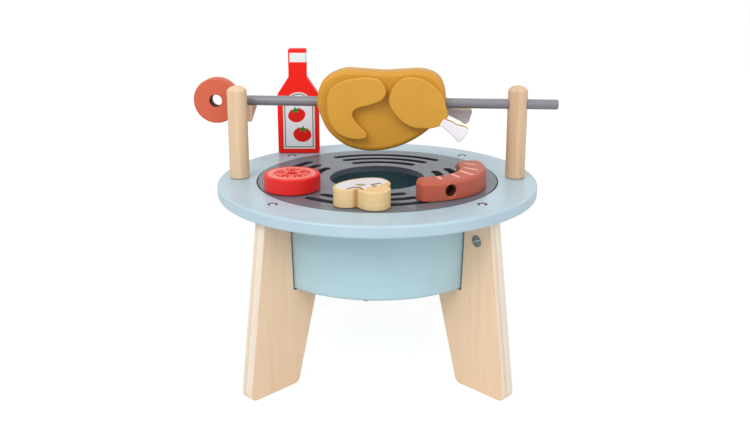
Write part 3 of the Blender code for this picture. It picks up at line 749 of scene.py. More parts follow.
def carve(mesh, tools, index=0):
    """Take (tool mesh, place) pairs out of a mesh; the cut faces get the material number."""
    holder = add_object("carve_target", mesh)
    count = max([index] + [face.material_index for face in mesh.polygons]) + 1
    spare = [bpy.data.materials.new("carve_spare") for _ in range(count)]
    change_materials(mesh, spare)
    helpers = []
    for number, (tool, place) in enumerate(tools):
        helper = add_object(f"carve_tool_{number}", tool.copy())
        change_materials(helper.data, spare)
        paint_faces(helper.data, index, lambda centre, normal: True)
        helper.matrix_world = place
        helpers.append(helper)
        step = holder.modifiers.new(helper.name, "BOOLEAN")
        step.operation = "DIFFERENCE"
        step.solver = "EXACT"
        step.object = helper
    made = built_mesh(holder)
    made.name = mesh.name
    change_materials(made, [])
    for helper in helpers:
        bpy.data.objects.remove(helper)
    for material in spare:
        bpy.data.materials.remove(material)
    return made


def split_along(mesh, planes):
    """Cut a mesh's faces along (point, normal) planes."""
    work = bmesh.new()
    work.from_mesh(mesh)
    for point, normal in planes:
        everything = [*work.verts, *work.edges, *work.faces]
        bmesh.ops.bisect_plane(work, geom=everything, plane_co=point, plane_no=normal)
    return mesh_from(work, mesh.name)


def show(name, mesh, look_names, body, place, slot=None):
    """Add a mesh as a piece that rides on a body. With a slot, it stands for the CAD node of its name."""
    made = add_object(f"{name}_shown" if slot else name, mesh)
    made.matrix_world = place
    for look in look_names:
        mesh.materials.append(looks[look])
    mesh.shade_smooth()
    mesh.set_sharp_from_angle(angle=sharp_angle)
    weighted = made.modifiers.new("flat_faces_stay_flat", "WEIGHTED_NORMAL")
    weighted.keep_sharp = True
    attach(made, body)
    if slot:
        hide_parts(name)


def print_patch(name, outline, layer, look, body, place):
    """A thin coat of paint on a board's face at z = 0 of the place."""
    patch = board(name, outline, -print_sink, print_thickness + layer * print_layer)
    show(name, patch, [look], body, place)


def print_ring(name, outer, inner, look, body, place):
    """A thin flat ring of paint between two outlines with the same number of points."""
    work = bmesh.new()
    rows = [[work.verts.new((x, y, z)) for x, y in loop]
            for loop, z in ((outer, -print_sink), (outer, print_thickness),
                            (inner, print_thickness), (inner, -print_sink))]
    for low, high in zip(rows, rows[1:] + rows[:1]):
        join_rows(work, low, high)
    show(name, mesh_from(work, name), [look], body, place)


# Materials


def tone(red, green, blue):
    """A colour as it shows on a screen, brought to linear light."""
    shares = [value / 255 for value in (red, green, blue)]
    linear = [share / 12.92 if share <= 0.04045 else ((share + 0.055) / 1.055) ** 2.4 for share in shares]
    return (*linear, 1.0)


def deeper(colour, factor):
    """A colour made darker or lighter."""
    return (*(min(share * factor, 1.0) for share in colour[:3]), 1.0)


def give(tree, socket, value):
    """Set an input to a value, or link it to another node's output."""
    if isinstance(value, bpy.types.NodeSocket):
        tree.links.new(value, socket)
    else:
        socket.default_value = value


def node(tree, kind, inputs, **settings):
    """A shader node with its settings and its inputs, each named or numbered."""
    made = tree.nodes.new(f"ShaderNode{kind}")
    for setting, value in settings.items():
        setattr(made, setting, value)
    for key, value in inputs.items():
        give(tree, made.inputs[key], value)
    return made


def coordinates(tree, scale=(1, 1, 1)):
    """The object's own coordinates, scaled along each axis."""
    source = node(tree, "TexCoord", {}).outputs["Object"]
    return node(tree, "Mapping", {"Vector": source, "Scale": scale}).outputs["Vector"]


def clouds(tree, scale, detail=3.0, roughness=0.5, distortion=0.0):
    """A noise from 0 to 1, scaled along each axis."""
    return node(tree, "TexNoise", {"Vector": coordinates(tree, scale), "Scale": 1.0, "Detail": detail,
                                   "Roughness": roughness, "Distortion": distortion}).outputs["Fac"]


def spread(tree, value, low, high, low_out, high_out):
    """Bring a value's range to another one."""
    return node(tree, "MapRange", {"Value": value, "From Min": low, "From Max": high,
                                   "To Min": low_out, "To Max": high_out}).outputs["Result"]


def ramp(tree, value, stops):
    """Colours along a value."""
    made = node(tree, "ValToRGB", {"Fac": value})
    knots = made.color_ramp.elements
    while len(knots) < len(stops):
        knots.new(1.0)
    for knot, (place, colour) in zip(knots, stops):
        knot.position = place
        knot.color = colour
    return made.outputs["Color"]


def blend(tree, share, first, second):
    """Two colours mixed by a share."""
    return node(tree, "Mix", {0: share, 6: first, 7: second}, data_type="RGBA").outputs[2]


def start_material(name, rough, metallic=0.0, coat=0.0, coat_rough=0.2, specular=0.5):
    """A Principled material and its node tree."""
    made = bpy.data.materials.new(name)
    made.use_nodes = True
    main = made.node_tree.nodes["Principled BSDF"]
    for key, value in (("Roughness", rough), ("Metallic", metallic), ("Coat Weight", coat),
                       ("Coat Roughness", coat_rough), ("Specular IOR Level", specular)):
        main.inputs[key].default_value = value
    return made, made.node_tree, main


def finish_surface(tree, main, colour, uneven, low_rough, high_rough, bumps):
    """Give a material its colour, its uneven roughness and its (height, depth, strength) bumps."""
    give(tree, main.inputs["Base Color"], colour)
    roughness = spread(tree, uneven, noise_low, noise_high, low_rough, high_rough)
    give(tree, main.inputs["Roughness"], roughness)
    under = {}
    for height, depth, strength in bumps:
        bump = node(tree, "Bump", {"Height": height, "Distance": depth, "Strength": strength, **under})
        under = {"Normal": bump.outputs["Normal"]}
    give(tree, main.inputs["Normal"], bump.outputs["Normal"])


def paint(name, colour, rough, coat=0.0, coat_rough=0.25, mottle=0.035, grain=(1, 1, 1),
          grain_strength=0.12, specular=0.5):
    """Satin paint on wood: faint clouds of tone, the wood's grain under it and a fine orange peel."""
    made, tree, main = start_material(name, rough, coat=coat, coat_rough=coat_rough, specular=specular)
    dark, light = deeper(tone(*colour), 1 - mottle), deeper(tone(*colour), 1 + mottle)
    broad = clouds(tree, cloud_scale, 4.0)
    fibre = clouds(tree, grain, 4.0, 0.6)
    peel = clouds(tree, peel_scale, 2.0)
    mixed = blend(tree, fine_share, ramp(tree, broad, [(0.30, dark), (0.70, light)]),
                  ramp(tree, fibre, [(0.35, dark), (0.65, light)]))
    finish_surface(tree, main, mixed, clouds(tree, sheen_scale), rough - 0.05, rough + 0.06,
                   [(fibre, paint_grain_depth, grain_strength), (peel, fine_depth, 0.25)])
    return made


def timber(name, light, middle, dark, rough, fleck=0.35):
    """Bare smooth wood with its grain along the object's Z."""
    made, tree, main = start_material(name, rough, coat=0.06, coat_rough=0.35, specular=0.3)
    light, middle, dark = tone(*light), tone(*middle), tone(*dark)
    figure = clouds(tree, wood_figure_scale, 5.0, 0.55, 0.6)
    fibre = clouds(tree, wood_fibre_scale, 3.0, 0.6)
    dashes = clouds(tree, wood_dash_scale, 1.0)
    wood = blend(tree, fine_share, ramp(tree, figure, [(0.28, dark), (0.5, middle), (0.72, light)]),
                 ramp(tree, fibre, [(0.30, deeper(middle, 0.9)), (0.70, deeper(middle, 1.08))]))
    marked = blend(tree, spread(tree, dashes, 0.66, 0.74, 0.0, fleck), wood, deeper(dark, 0.72))
    finish_surface(tree, main, marked, fibre, rough - 0.06, rough + 0.08,
                   [(fibre, wood_grain_depth, 0.35), (dashes, fine_depth, 0.15)])
    return made


def plywood_edge(name, rough):
    """The cut edge of plywood: plies across the object's Y, fibres along them and pores."""
    made, tree, main = start_material(name, rough, coat=0.04, coat_rough=0.4)
    parts = node(tree, "SeparateXYZ", {"Vector": coordinates(tree)})
    across = spread(tree, parts.outputs["Y"], -leg_thickness / 2, leg_thickness / 2, 0.0, 1.0)
    wave = spread(tree, clouds(tree, ply_wave_scale), 0.0, 1.0, -ply_wave_share, ply_wave_share)
    wavy = node(tree, "Math", {0: across, 1: wave}, operation="ADD").outputs["Value"]
    veneer, cross, core = tone(237, 222, 203), tone(226, 205, 181), tone(242, 230, 212)
    glue, pale = tone(216, 192, 166), tone(236, 227, 211)
    plies = ramp(tree, wavy, [
        (0.0, veneer), (0.19, veneer), (0.21, glue), (0.24, cross), (0.40, cross), (0.42, glue),
        (0.45, core), (0.60, core), (0.62, deeper(glue, 1.12)), (0.65, pale), (0.82, pale),
        (0.84, deeper(glue, 1.15)), (0.87, veneer), (1.0, veneer),
    ])
    fibre = clouds(tree, ply_fibre_scale, 4.0, 0.6)
    pores = clouds(tree, ply_pore_scale, 2.0)
    lines = ramp(tree, fibre, [(0.3, tone(222, 200, 175)), (0.7, tone(248, 237, 221))])
    marked = blend(tree, spread(tree, pores, 0.62, 0.72, 0.0, 0.14), blend(tree, 0.30, plies, lines),
                   tone(176, 146, 116))
    finish_surface(tree, main, marked, fibre, rough - 0.05, rough + 0.08,
                   [(fibre, ply_grain_depth, 0.4), (pores, pore_depth, 0.2)])
    return made


def lined_wood(name, light, dark, rough, crease, crease_shade_reach):
    """A painted sawn edge with fine level lines, and painted shade in brown round an upright crease."""
    made, tree, main = start_material(name, rough, coat=0.05, coat_rough=0.4)
    light, dark = tone(*light), tone(*dark)
    lines = clouds(tree, saw_line_scale, 4.0, 0.62)
    broad = clouds(tree, saw_cloud_scale)
    wood = blend(tree, fine_share,
                 ramp(tree, lines, [(0.32, dark), (0.52, light), (0.75, deeper(light, 1.05))]),
                 ramp(tree, broad, [(0.3, deeper(light, 0.93)), (0.7, deeper(light, 1.05))]))
    # Painted shade: a brown that stands in for the shade in the crease, strongest near it
    away = node(tree, "VectorMath", {0: coordinates(tree, (1, 1, 0)), 1: (*crease, 0)}, operation="DISTANCE")
    near = spread(tree, away.outputs["Value"], crease_shade_reach / 4, crease_shade_reach, 0.75, 0.0)
    finish_surface(tree, main, blend(tree, near, wood, tone(190, 132, 72)), lines, rough - 0.05,
                   rough + 0.07, [(lines, wood_grain_depth, 0.4)])
    return made


def steel(name, colour, rough):
    """Plated steel with fine turned scratches."""
    made, tree, main = start_material(name, rough, metallic=1.0)
    colour = tone(*colour)
    broad = clouds(tree, steel_cloud_scale)
    fine = clouds(tree, steel_scratch_scale)
    finish_surface(tree, main, ramp(tree, broad, [(0.3, deeper(colour, 0.85)), (0.7, deeper(colour, 1.1))]),
                   fine, rough - 0.1, rough + 0.12, [(fine, scratch_depth, 0.35)])
    return made


looks = {
    "ring": paint("ring_blue", (177, 202, 214), 0.36, coat=0.15, coat_rough=0.22, grain=(14, 14, 260),
                  grain_strength=0.05),
    "bowl": paint("bowl_blue", (174, 205, 214), 0.46, grain=bowl_grain, grain_strength=0.08),
    # Painted shade: the bowl's blue darkened for the shade on the inside of its wall
    "bowl_inside": paint("bowl_inside_painted_shade", (104, 140, 152), 0.5, grain=bowl_grain),
    "bowl_floor": paint("bowl_floor_blue", (152, 204, 216), 0.5, grain=(90, 12, 90)),
    "grate": paint("grate_grey", (100, 107, 117), 0.45, coat=0.3, coat_rough=0.05, mottle=0.05,
                   grain=(90, 10, 90), grain_strength=0.02, specular=0.35),
    # Painted shade: a dark grey for the walls of the grate's slots, which lie in shade
    "slot": paint("slot_wall_painted_shade", (64, 64, 72), 0.6, specular=0.2),
    "grate_side": paint("grate_side_grey", (98, 104, 116), 0.5, specular=0.4),
    # Painted shade: a dark purple grey on the walls of the screw holes, for the shade round the heads
    "bolt_hole": paint("bolt_hole_painted_shade", (84, 70, 86), 0.6, specular=0.1),
    "rod": paint("rod_grey", (126, 125, 132), 0.34, coat=0.2, grain=(12, 600, 600), grain_strength=0.08),
    "leg": timber("birch_face", (242, 212, 182), (238, 207, 174), (229, 197, 161), 0.5, fleck=0.2),
    "ply": plywood_edge("birch_ply_edge", 0.55),
    "post": timber("beech_dowel", (233, 206, 172), (226, 198, 163), (210, 180, 145), 0.46),
    # Painted shade: a darker copy of the posts' beech for the right post
    "post_right": timber("beech_dowel_painted_shade", (228, 199, 167), (216, 184, 149), (198, 161, 125), 0.46),
    "hook": timber("beech_hook", (228, 199, 168), (221, 190, 158), (209, 176, 144), 0.5),
    "terracotta": paint("terracotta", (207, 98, 70), 0.44, grain=(300, 90, 40), specular=0.35),
    # Partly the bare wood of a bored hole and partly painted shade: its browns are darkened for the hole's
    # depth
    "hole": timber("bored_wood_painted_shade", (120, 70, 46), (92, 50, 34), (66, 34, 24), 0.7),
    "mustard": paint("mustard", (210, 155, 54), 0.46, grain=board_grain, grain_strength=0.08,
                     specular=0.35),
    "mustard_edge": paint("mustard_edge", (205, 149, 44), 0.48, grain=(60, 600, 60), specular=0.35),
    "bone": paint("bone_white", (241, 241, 247), 0.4, grain=board_grain),
    "tomato": paint("tomato_red", (229, 37, 31), 0.42, grain=board_grain, specular=0.35),
    "sausage": paint("sausage_brown", (184, 90, 68), 0.42, grain=(60, 60, 500), specular=0.3),
    # The cream wood carries painted shade in the crease beside the stem
    "mushroom": lined_wood("mushroom_cream", (231, 198, 145), (218, 180, 122), 0.5,
                           (-mushroom_stem_half_width, -mushroom_left_lobe_drop), mushroom_crease_shade_reach),
    "bottle": paint("bottle_red", (254, 28, 10), 0.4, mottle=0.02, grain=board_grain, specular=0.3),
    "band": paint("band_white", (240, 252, 255), 0.38, grain=board_grain),
    "steel": steel("plated_steel", (188, 190, 196), 0.28),
    # Bright steel: the bolt heads' own plating, and on the cross nuts' slot floors a painted highlight
    "bolt": steel("bolt_steel_and_slot_highlight", (226, 228, 233), 0.5),
    "dark_steel": steel("dark_steel", (134, 138, 136), 0.32),
    # Painted shade: a darkened steel for the screws under the bowl, which would otherwise show the white
    # floor
    "floor_steel_painted_shade": steel("floor_steel_painted_shade", (92, 94, 98), 0.4),
    # Painted shade: a near-black paint for the legs' edges that face the bowl, where the narrow gap lies in
    # shade
    "gap": paint("painted_gap_shade", (34, 38, 34), 0.7, specular=0.1),
    # Painted shade: the terracotta darkened to near brown for the shade inside the handle's hole
    "handle_hole_painted_shade": paint("handle_hole_painted_shade", (96, 40, 30), 0.6, specular=0.1),
    # Painted shade: the bone's white greyed for the rear bone, which lies in shade behind the chicken
    "bone_painted_shade": paint("bone_painted_shade", (206, 202, 202), 0.45, grain=board_grain),
}
for look, colour, rough, mottle, specular in print_looks:
    looks[look] = paint(look, colour, rough, mottle=mottle, specular=specular)


# Table top, grate and bowl


def fastener(name, head_radius, head_height, shank_radius, length):
    """A countersunk screw with a cross recess, its head's face at 0."""
    edge = head_edge_radius
    profile = [(0, 0), *arc((head_radius - edge, -edge), edge, pi / 2, 0, small_rim_steps),
               (shank_radius, -head_height), (shank_radius, -length), (0, -length)]
    cross = cross_outline(recess_length * head_recess_share, recess_width * head_recess_share)
    tool = board("recess", cross, -recess_depth, cut_overrun)
    return carve(turned(name, profile, small_steps), [(tool, moved())])


def countersunk_hole(name, head_radius, head_height, shank_radius, length):
    """The tool for a countersunk hole from 0 down."""
    wide, narrow = head_radius + screw_gap, shank_radius + screw_gap
    return turned(name, [(0, cut_overrun), (wide, cut_overrun), (wide, 0), (narrow, -head_height),
                         (narrow, -length), (0, -length)], small_steps)


def make_table_top():
    """The round table top with the legs' bolts and the posts' screws."""
    low, high = ring_underside_height, ring_top_height
    through = ring_thickness + cut_overrun
    bolt_hole = countersunk_hole("bolt_hole", bolt_head_radius, bolt_head_height, bolt_shank_radius, through)
    bolt = fastener("leg_bolt", head_shown_radius, bolt_head_height, bolt_shank_radius,
                    nut_depth_below_top + bolt_past_nut)
    tools = []
    for index, name in enumerate(leg_names):
        turn = leg_turn + index * 2 * pi / leg_count
        spot = moved(bolt_circle_radius * cos(turn), bolt_circle_radius * sin(turn), high)
        tools.append((bolt_hole, spot))
        show(f"leg_bolt_{name}", bolt.copy(), ["bolt"], "table",
             grill_axis @ spot @ spun(turn + bolt_turns[index]), "zinc_steel")
    sizes = (post_screw_head_radius, post_screw_head_height, post_screw_shank_radius)
    post_hole = countersunk_hole("post_hole", *sizes, through)
    screw = fastener("post_screw", *sizes, post_screw_length)
    for side, name in ((-1, "left"), (1, "right")):
        spot = moved(side * post_offset, 0, low) @ spun(pi, "X")
        tools.append((post_hole, spot))
        show(f"post_screw_{name}", screw.copy(), ["steel"], "table", grill_axis @ spot, "zinc_steel")
    profile = tube_profile(ring_radius, ring_opening_radius, low, high, ring_edge_radius,
                           ring_opening_edge_radius, rim_steps)
    # The cut faces of the screw holes get the dark grey of painted shade
    ring = carve(turned("tabletop_ring", profile, large_steps), tools, 1)
    show("tabletop_ring", ring, ["ring", "bolt_hole"], "table", grill_axis, "blue_paint")


def slot_outline(radius, turn):
    """One curved slot with round ends, about the plate's axis."""
    half = slot_width / 2
    sweep = pi / slot_group_count - asin(slot_bridge_half_width / radius) - half / radius
    outline = []
    for side in (1, -1):
        end = turn + side * sweep
        cap = end if side > 0 else end + pi
        outline += arc((0, 0), radius + side * half, turn - side * sweep, end, small_steps)
        outline += arc((radius * cos(end), radius * sin(end)), half, cap, cap + pi, slot_end_steps)[1:-1]
    return outline


def make_plate():
    """The loose grate: slots with eased edges in a turned disc."""
    loops = [circle(plate_radius, large_steps), circle(plate_hole_radius, large_steps // 2)]
    for group in range(slot_group_count):
        for row in range(slot_rows):
            radius = plate_hole_radius + (row + 1) * slot_pitch
            loops.append(slot_outline(radius, group * 2 * pi / slot_group_count))
    plate = pierced_sheet("grill_plate", loops, ring_top_height - plate_thickness, ring_top_height,
                          plate_slot_edge_radius)
    wall_limit = 0.6
    hole_reach = plate_hole_radius + plate_slot_edge_radius * 2
    # Painted shade: the slot walls get the dark grey; the middle hole's wall gets the side grey
    for index, near, far in ((1, hole_reach, plate_radius - slot_width), (2, 0, hole_reach)):
        paint_faces(plate, index, lambda centre, normal: abs(normal.z) < wall_limit
                    and near < hypot(centre.x, centre.y) < far)
    show("grill_plate", plate, ["grate", "slot", "grate_side"], "grate", grill_axis @ spun(plate_turn),
         "grey_paint")


def make_bowl():
    """The bowl's wall, its floor and the screws that hold the floor."""
    low, high = bowl_bottom_height, bowl_rim_height
    edge, rim = bowl_edge_radius, bowl_rim_edge_radius
    shoulder = low + floor_thickness + fit_gap
    rebate = floor_radius + fit_gap
    profile = arc((bowl_bottom_radius - edge, low + edge), edge, -pi / 2, 0)
    profile += arc((bowl_top_radius - rim, high - rim), rim, 0, pi / 2, rim_steps)
    profile += arc((bowl_inner_radius + rim, high - rim), rim, pi / 2, pi, rim_steps)
    profile += [(bowl_inner_radius, shoulder), (rebate, shoulder), (rebate, low)]
    wall = turned("bowl_wall", profile, large_steps)
    # The inside of the wall gets the darker blue of painted shade
    paint_faces(wall, 1, lambda centre, normal: hypot(centre.x, centre.y) < bowl_inner_radius + rim)
    show("bowl_wall", wall, ["bowl", "bowl_inside"], "table", grill_axis, "blue_paint")
    profile = rod_profile(floor_radius, low, low + floor_thickness, floor_edge_radius)
    show("bowl_floor", turned("bowl_floor", profile, large_steps), ["bowl_floor"], "table", grill_axis,
         "bowl_floor_paint")
    head, shank, length = floor_screw_head_height, floor_screw_shank_radius, floor_screw_length
    dome = arc((floor_screw_head_radius - head / 2, fit_gap + head / 2), head / 2, pi / 2, 0)
    profile = [(0, fit_gap + head), *dome, (floor_screw_head_radius, fit_gap), (shank, fit_gap),
               (shank, -length), (0, -length)]
    cross = cross_outline(recess_length * floor_recess_share, recess_width)
    tool = board("floor_recess", cross, fit_gap, cut_overrun)
    screw = carve(turned("floor_screw", profile, small_steps), [(tool, moved())])
    # The floor screws wear the darkened steel of painted shade
    for index in range(floor_screw_count):
        turn = floor_screw_turn + index * 2 * pi / floor_screw_count
        spot = moved(floor_screw_circle * cos(turn), floor_screw_circle * sin(turn), low)
        show(f"floor_screw_{index + 1}", screw.copy(), ["floor_steel_painted_shade"], "table",
             grill_axis @ spot @ spun(pi, "X"), "zinc_steel")


# Legs


def bowl_radius_at(height):
    """The bowl's outer radius, which narrows evenly downwards."""
    share = (height - bowl_bottom_height) / (bowl_rim_height - bowl_bottom_height)
    return bowl_bottom_radius + (bowl_top_radius - bowl_bottom_radius) * share


def make_legs():
    """Four plywood legs, each with its cross nut."""
    outline = rounded_corners([
        (leg_foot_inner, 0, leg_foot_corner_radius),
        (leg_foot_outer, 0, leg_foot_corner_radius),
        (leg_top_outer, leg_top_height, 0),
        (bowl_radius_at(leg_top_height) + leg_bowl_gap, leg_top_height, 0),
        (leg_ledge_radius, leg_ledge_height, 0),
        (leg_knee_inner, leg_ledge_height, leg_knee_corner_radius),
    ])
    half = leg_thickness / 2
    nut_spot = moved(bolt_circle_radius, 0, nut_height) @ spun(pi / 2, "X")
    hole = plain_rod("nut_hole", nut_radius + screw_gap, half - nut_length - screw_gap, half + cut_overrun,
                     small_steps)
    leg = upright(board("leg", outline, -half, half, leg_edge_radius, small_rim_steps))
    leg = carve(leg, [(hole, nut_spot)])
    face_limit = 0.85
    hole_reach = nut_radius + 2 * screw_gap
    paint_faces(leg, 1, lambda spot, normal: abs(normal.y) < face_limit
                and hypot(spot.x - bolt_circle_radius, spot.z - nut_height) > hole_reach)
    # Painted shade: the legs' edges that face the bowl above the ledge get the near-black gap paint
    paint_faces(leg, 2, lambda spot, normal: normal.x < -face_limit and spot.z > leg_ledge_height)
    edge, long, wide = nut_edge_radius, nut_length, nut_slot_width / 2
    slot_floor = half - nut_slot_depth
    tool = board("nut_slot", [(-long, -wide), (long, -wide), (long, wide), (-long, wide)], slot_floor,
                 half + cut_overrun)
    profile = [(0, half - nut_length), (nut_radius, half - nut_length),
               *arc((nut_radius - edge, half - edge), edge, 0, pi / 2, small_rim_steps), (0, half)]
    nut = carve(turned("cross_nut", profile, small_steps), [(tool, spun(nut_slot_turn))])
    # Painted highlight: the slot floor gets the bright bolt steel
    paint_faces(nut, 1, lambda spot, normal: normal.z > face_limit
                and 0 < spot.z < half - nut_slot_depth / 2)
    for index, name in enumerate(leg_names):
        station = grill_axis @ spun(leg_turn + index * 2 * pi / leg_count)
        show(f"leg_{name}", leg.copy(), ["leg", "ply", "gap"], "table", station, "birch_plywood")
        show(f"cross_nut_{name}", nut.copy(), ["dark_steel", "bolt"], "table", station @ nut_spot,
             "zinc_steel")


# Posts, hook, rod and handle


def make_posts():
    """Two domed dowel posts and the open hook on the left one."""
    chamfer = post_foot_chamfer
    dome = oval_arc((0, post_height - post_dome_height), post_radius, post_dome_height, 0, pi / 2,
                    3 * fillet_steps)
    profile = [(0, 0), (post_radius - chamfer, 0), (post_radius, chamfer), *dome[:-1], (0, post_height)]
    post = turned("post", profile)
    spot = grill_axis @ moved(-post_offset, 0, post_base_height)
    show("post_left", post.copy(), ["post"], "table", spot, "beech")
    spot = grill_axis @ moved(post_offset, 0, post_base_height)
    rod_hole = along_x(plain_rod("rod_hole", rod_radius + rod_hole_gap, -2 * post_radius, 2 * post_radius))
    post = carve(post, [(rod_hole, spot.inverted() @ spit_axis)])
    # The right post wears the darker beech of painted shade
    show("post_right", post, ["post_right"], "table", spot, "beech")
    corner = hook_corner_radius
    front = post_radius - hook_post_overlap
    rear = rod_behind_left_post + hook_seat_radius + hook_rear_lip
    lip_height = rod_height - hook_lip_below_rod_axis
    front_height = rod_height - hook_front_below_rod_axis
    outline = rounded_corners([
        (front, rod_height - hook_front_drop, 0),
        (rear, rod_height - hook_rear_drop, corner),
        (rear, lip_height, corner),
        (rod_behind_left_post, lip_height, 0),
        (rod_behind_left_post, front_height, 0),
        (front, front_height, 0),
    ])
    low, high = hook_right_of_post_axis, hook_right_of_post_axis + hook_width
    hook = facing_x(board("rod_hook", outline, low, high, corner / 2, rim_steps))
    groove = plain_rod("post_groove", post_radius + fit_gap, 0, post_height)
    seat = hook_seat_radius
    channel = arc((0, 0), seat, -pi, 0, 4 * fillet_steps) + [(seat, post_height), (-seat, post_height)]
    channel = facing_x(board("rod_channel", channel, -2 * hook_width, 2 * hook_width))
    place = grill_axis @ moved(-post_offset, 0, ring_top_height)
    through = place.inverted() @ spit_axis @ moved(-post_span * spit_stretch)
    hook = carve(hook, [(groove, moved()), (channel, through)])
    show("rod_hook", hook, ["hook"], "table", place, "beech")


def make_spit():
    """The rod and the handle disc on its left end."""
    rod_end = rod_right_end - 2 * facet_loss
    rod = along_x(turned("spit_rod", rod_profile(rod_radius, rod_left_end, rod_end, rod_end_radius)))
    show("spit_rod", rod, ["rod"], "spit", spit_axis, "grey_paint")
    half, edge = handle_thickness / 2, handle_edge_radius
    profile = tube_profile(handle_radius - facet_loss, handle_hole_radius, -half, half, edge, edge)
    disc = turned("spit_handle", profile, 2 * round_steps)
    # The hole's wall gets the darkened terracotta of painted shade
    bored = handle_hole_radius + edge / 4
    paint_faces(disc, 1, lambda centre, normal: hypot(centre.x, centre.y) < bored)
    socket = along_x(plain_rod("handle_socket", rod_radius + fit_gap, handle_radius - handle_socket_depth,
                               handle_radius + cut_overrun))
    disc = carve(upright(disc), [(socket, moved())])
    show("spit_handle", disc, ["terracotta", "handle_hole_painted_shade"], "spit", spit_axis @ moved(handle_centre),
         "terracotta_paint")


# Chicken


def bone_planes():
    """The planes at the white end of the bone: its straight start and its two rounded corners."""
    start = Vector((bone_edge_right, -bone_edge_below, 0))
    along = Vector((cos(bone_edge_turn), sin(bone_edge_turn), 0))
    across = Vector((along.y, -along.x, 0))
    planes = []
    for side in (-1, 0, 1):
        turn = bone_edge_turn + side * bone_corner_turn
        out = across * (side * bone_corner_apart) + along * (abs(side) * bone_corner_length)
        planes.append((start + out, Vector((cos(turn), sin(turn), 0))))
    return planes


def make_chicken():
    """The body board on the rod, with a wing and a drumstick on each face."""
    chicken = spit_axis @ moved((chicken_right_of_axis - post_offset) * spit_stretch)
    half = chicken_thickness / 2
    outline = board_outline(chicken_outline_shares, chicken_length, chicken_height)
    body = upright(board("chicken_body", outline, -half, half, chicken_edge_radius, chicken_rim_steps))
    bore = along_x(plain_rod("chicken_bore", rod_radius + chicken_rod_gap, -chicken_length, chicken_length))
    body = carve(body, [(bore, moved(0, 0, chicken_below_rod))])
    show("chicken_body", body, ["mustard_edge"], "chicken", chicken @ moved(0, 0, -chicken_below_rod),
         "mustard_paint")
    wing = board_outline(wing_outline_shares, wing_length, wing_height)
    drumstick = board_outline(drumstick_outline_shares, drumstick_length, drumstick_height)
    wing_place = chicken @ moved(-wing_left_of_chicken, 0, -wing_below_rod)
    drumstick_place = chicken @ moved(drumstick_right_of_chicken, 0, -drumstick_below_rod)
    low, high = half + fit_gap, half + fit_gap + board_thickness
    planes = bone_planes()
    side_limit = 0.3
    # The rear drumstick's bone gets the greyed white of painted shade
    for name, near, far, turn, bone in (("front", low, high, 0, "bone"),
                                        ("rear", -high, -low, rear_drumstick_turn, "bone_painted_shade")):
        mesh = upright(board(f"wing_{name}", wing, near, far, board_edge_radius, rim_steps))
        show(f"chicken_wing_{name}", mesh, ["mustard"], "chicken", wing_place, "mustard_paint")
        mesh = board(f"drumstick_{name}", drumstick, near, far, board_edge_radius, rim_steps)
        mesh = split_along(mesh, planes)
        paint_faces(mesh, 1, lambda centre, normal: abs(normal.z) > side_limit
                    and all((centre - point).dot(way) > 0 for point, way in planes))
        mesh.transform(spun(turn))
        show(f"chicken_drumstick_{name}", upright(mesh), ["mustard", bone], "chicken", drumstick_place,
             "mustard_paint")


# Play food


def wedge(inner, outer, half_gap, corner):
    """A seed chamber between two radii, its sides parallel to the next chamber's, about +X."""
    inner_turn = pi / tomato_chambers - asin(half_gap / inner)
    outer_turn = pi / tomato_chambers - asin(half_gap / outer)
    rim = [(x, y, 0) for x, y in arc((0, 0), outer, -outer_turn, outer_turn)]
    rim[0] = (*rim[0][:2], corner)
    rim[-1] = (*rim[-1][:2], corner)
    x, y = inner * cos(inner_turn), inner * sin(inner_turn)
    return rounded_corners([(x, -y, corner / 2), *rim, (x, y, corner / 2)], wedge_corner_steps)


def make_tomato():
    """The tomato slice with its printed cut face."""
    place = grill_axis @ moved(*tomato_place_shares * plate_radius, food_height)
    mesh = turned("tomato_slice", rod_profile(tomato_radius, 0, tomato_height, tomato_edge_radius))
    show("tomato_slice", mesh, ["tomato"], "tomato", place, "red_paint")
    face = place @ moved(0, 0, tomato_height)
    print_ring("tomato_flesh_ring", circle(tomato_flesh_outer, round_steps),
               circle(tomato_flesh_inner, round_steps), "print_pink", "tomato", face)
    line = tomato_line_width
    outline = wedge(tomato_chamber_inner, tomato_chamber_outer, tomato_chamber_gap / 2, tomato_chamber_corner)
    well = inset(outline, line)
    seed = oval_arc((0, 0), tomato_seed_length / 2, tomato_seed_width / 2, 0, 2 * pi, seed_steps)[:-1]
    seed_radius = (tomato_chamber_inner + tomato_chamber_outer) / 2 + line
    for index in range(tomato_chambers):
        aim = face @ spun(tomato_turn + 2 * pi * index / tomato_chambers)
        print_patch(f"tomato_chamber_line_{index + 1}", outline, 0, "print_pink", "tomato", aim)
        print_patch(f"tomato_chamber_{index + 1}", well, 1, "print_chamber", "tomato", aim)
        for number, side in enumerate((-1, 1)):
            spot = aim @ spun(side * tomato_seed_spread) @ moved(seed_radius + line / 2 * side)
            print_patch(f"tomato_seed_{index + 1}_{number + 1}", seed, 2, "print_pink", "tomato", spot)
    print_patch("tomato_core", circle(tomato_core_radius, small_steps), 1, "print_core", "tomato", face)


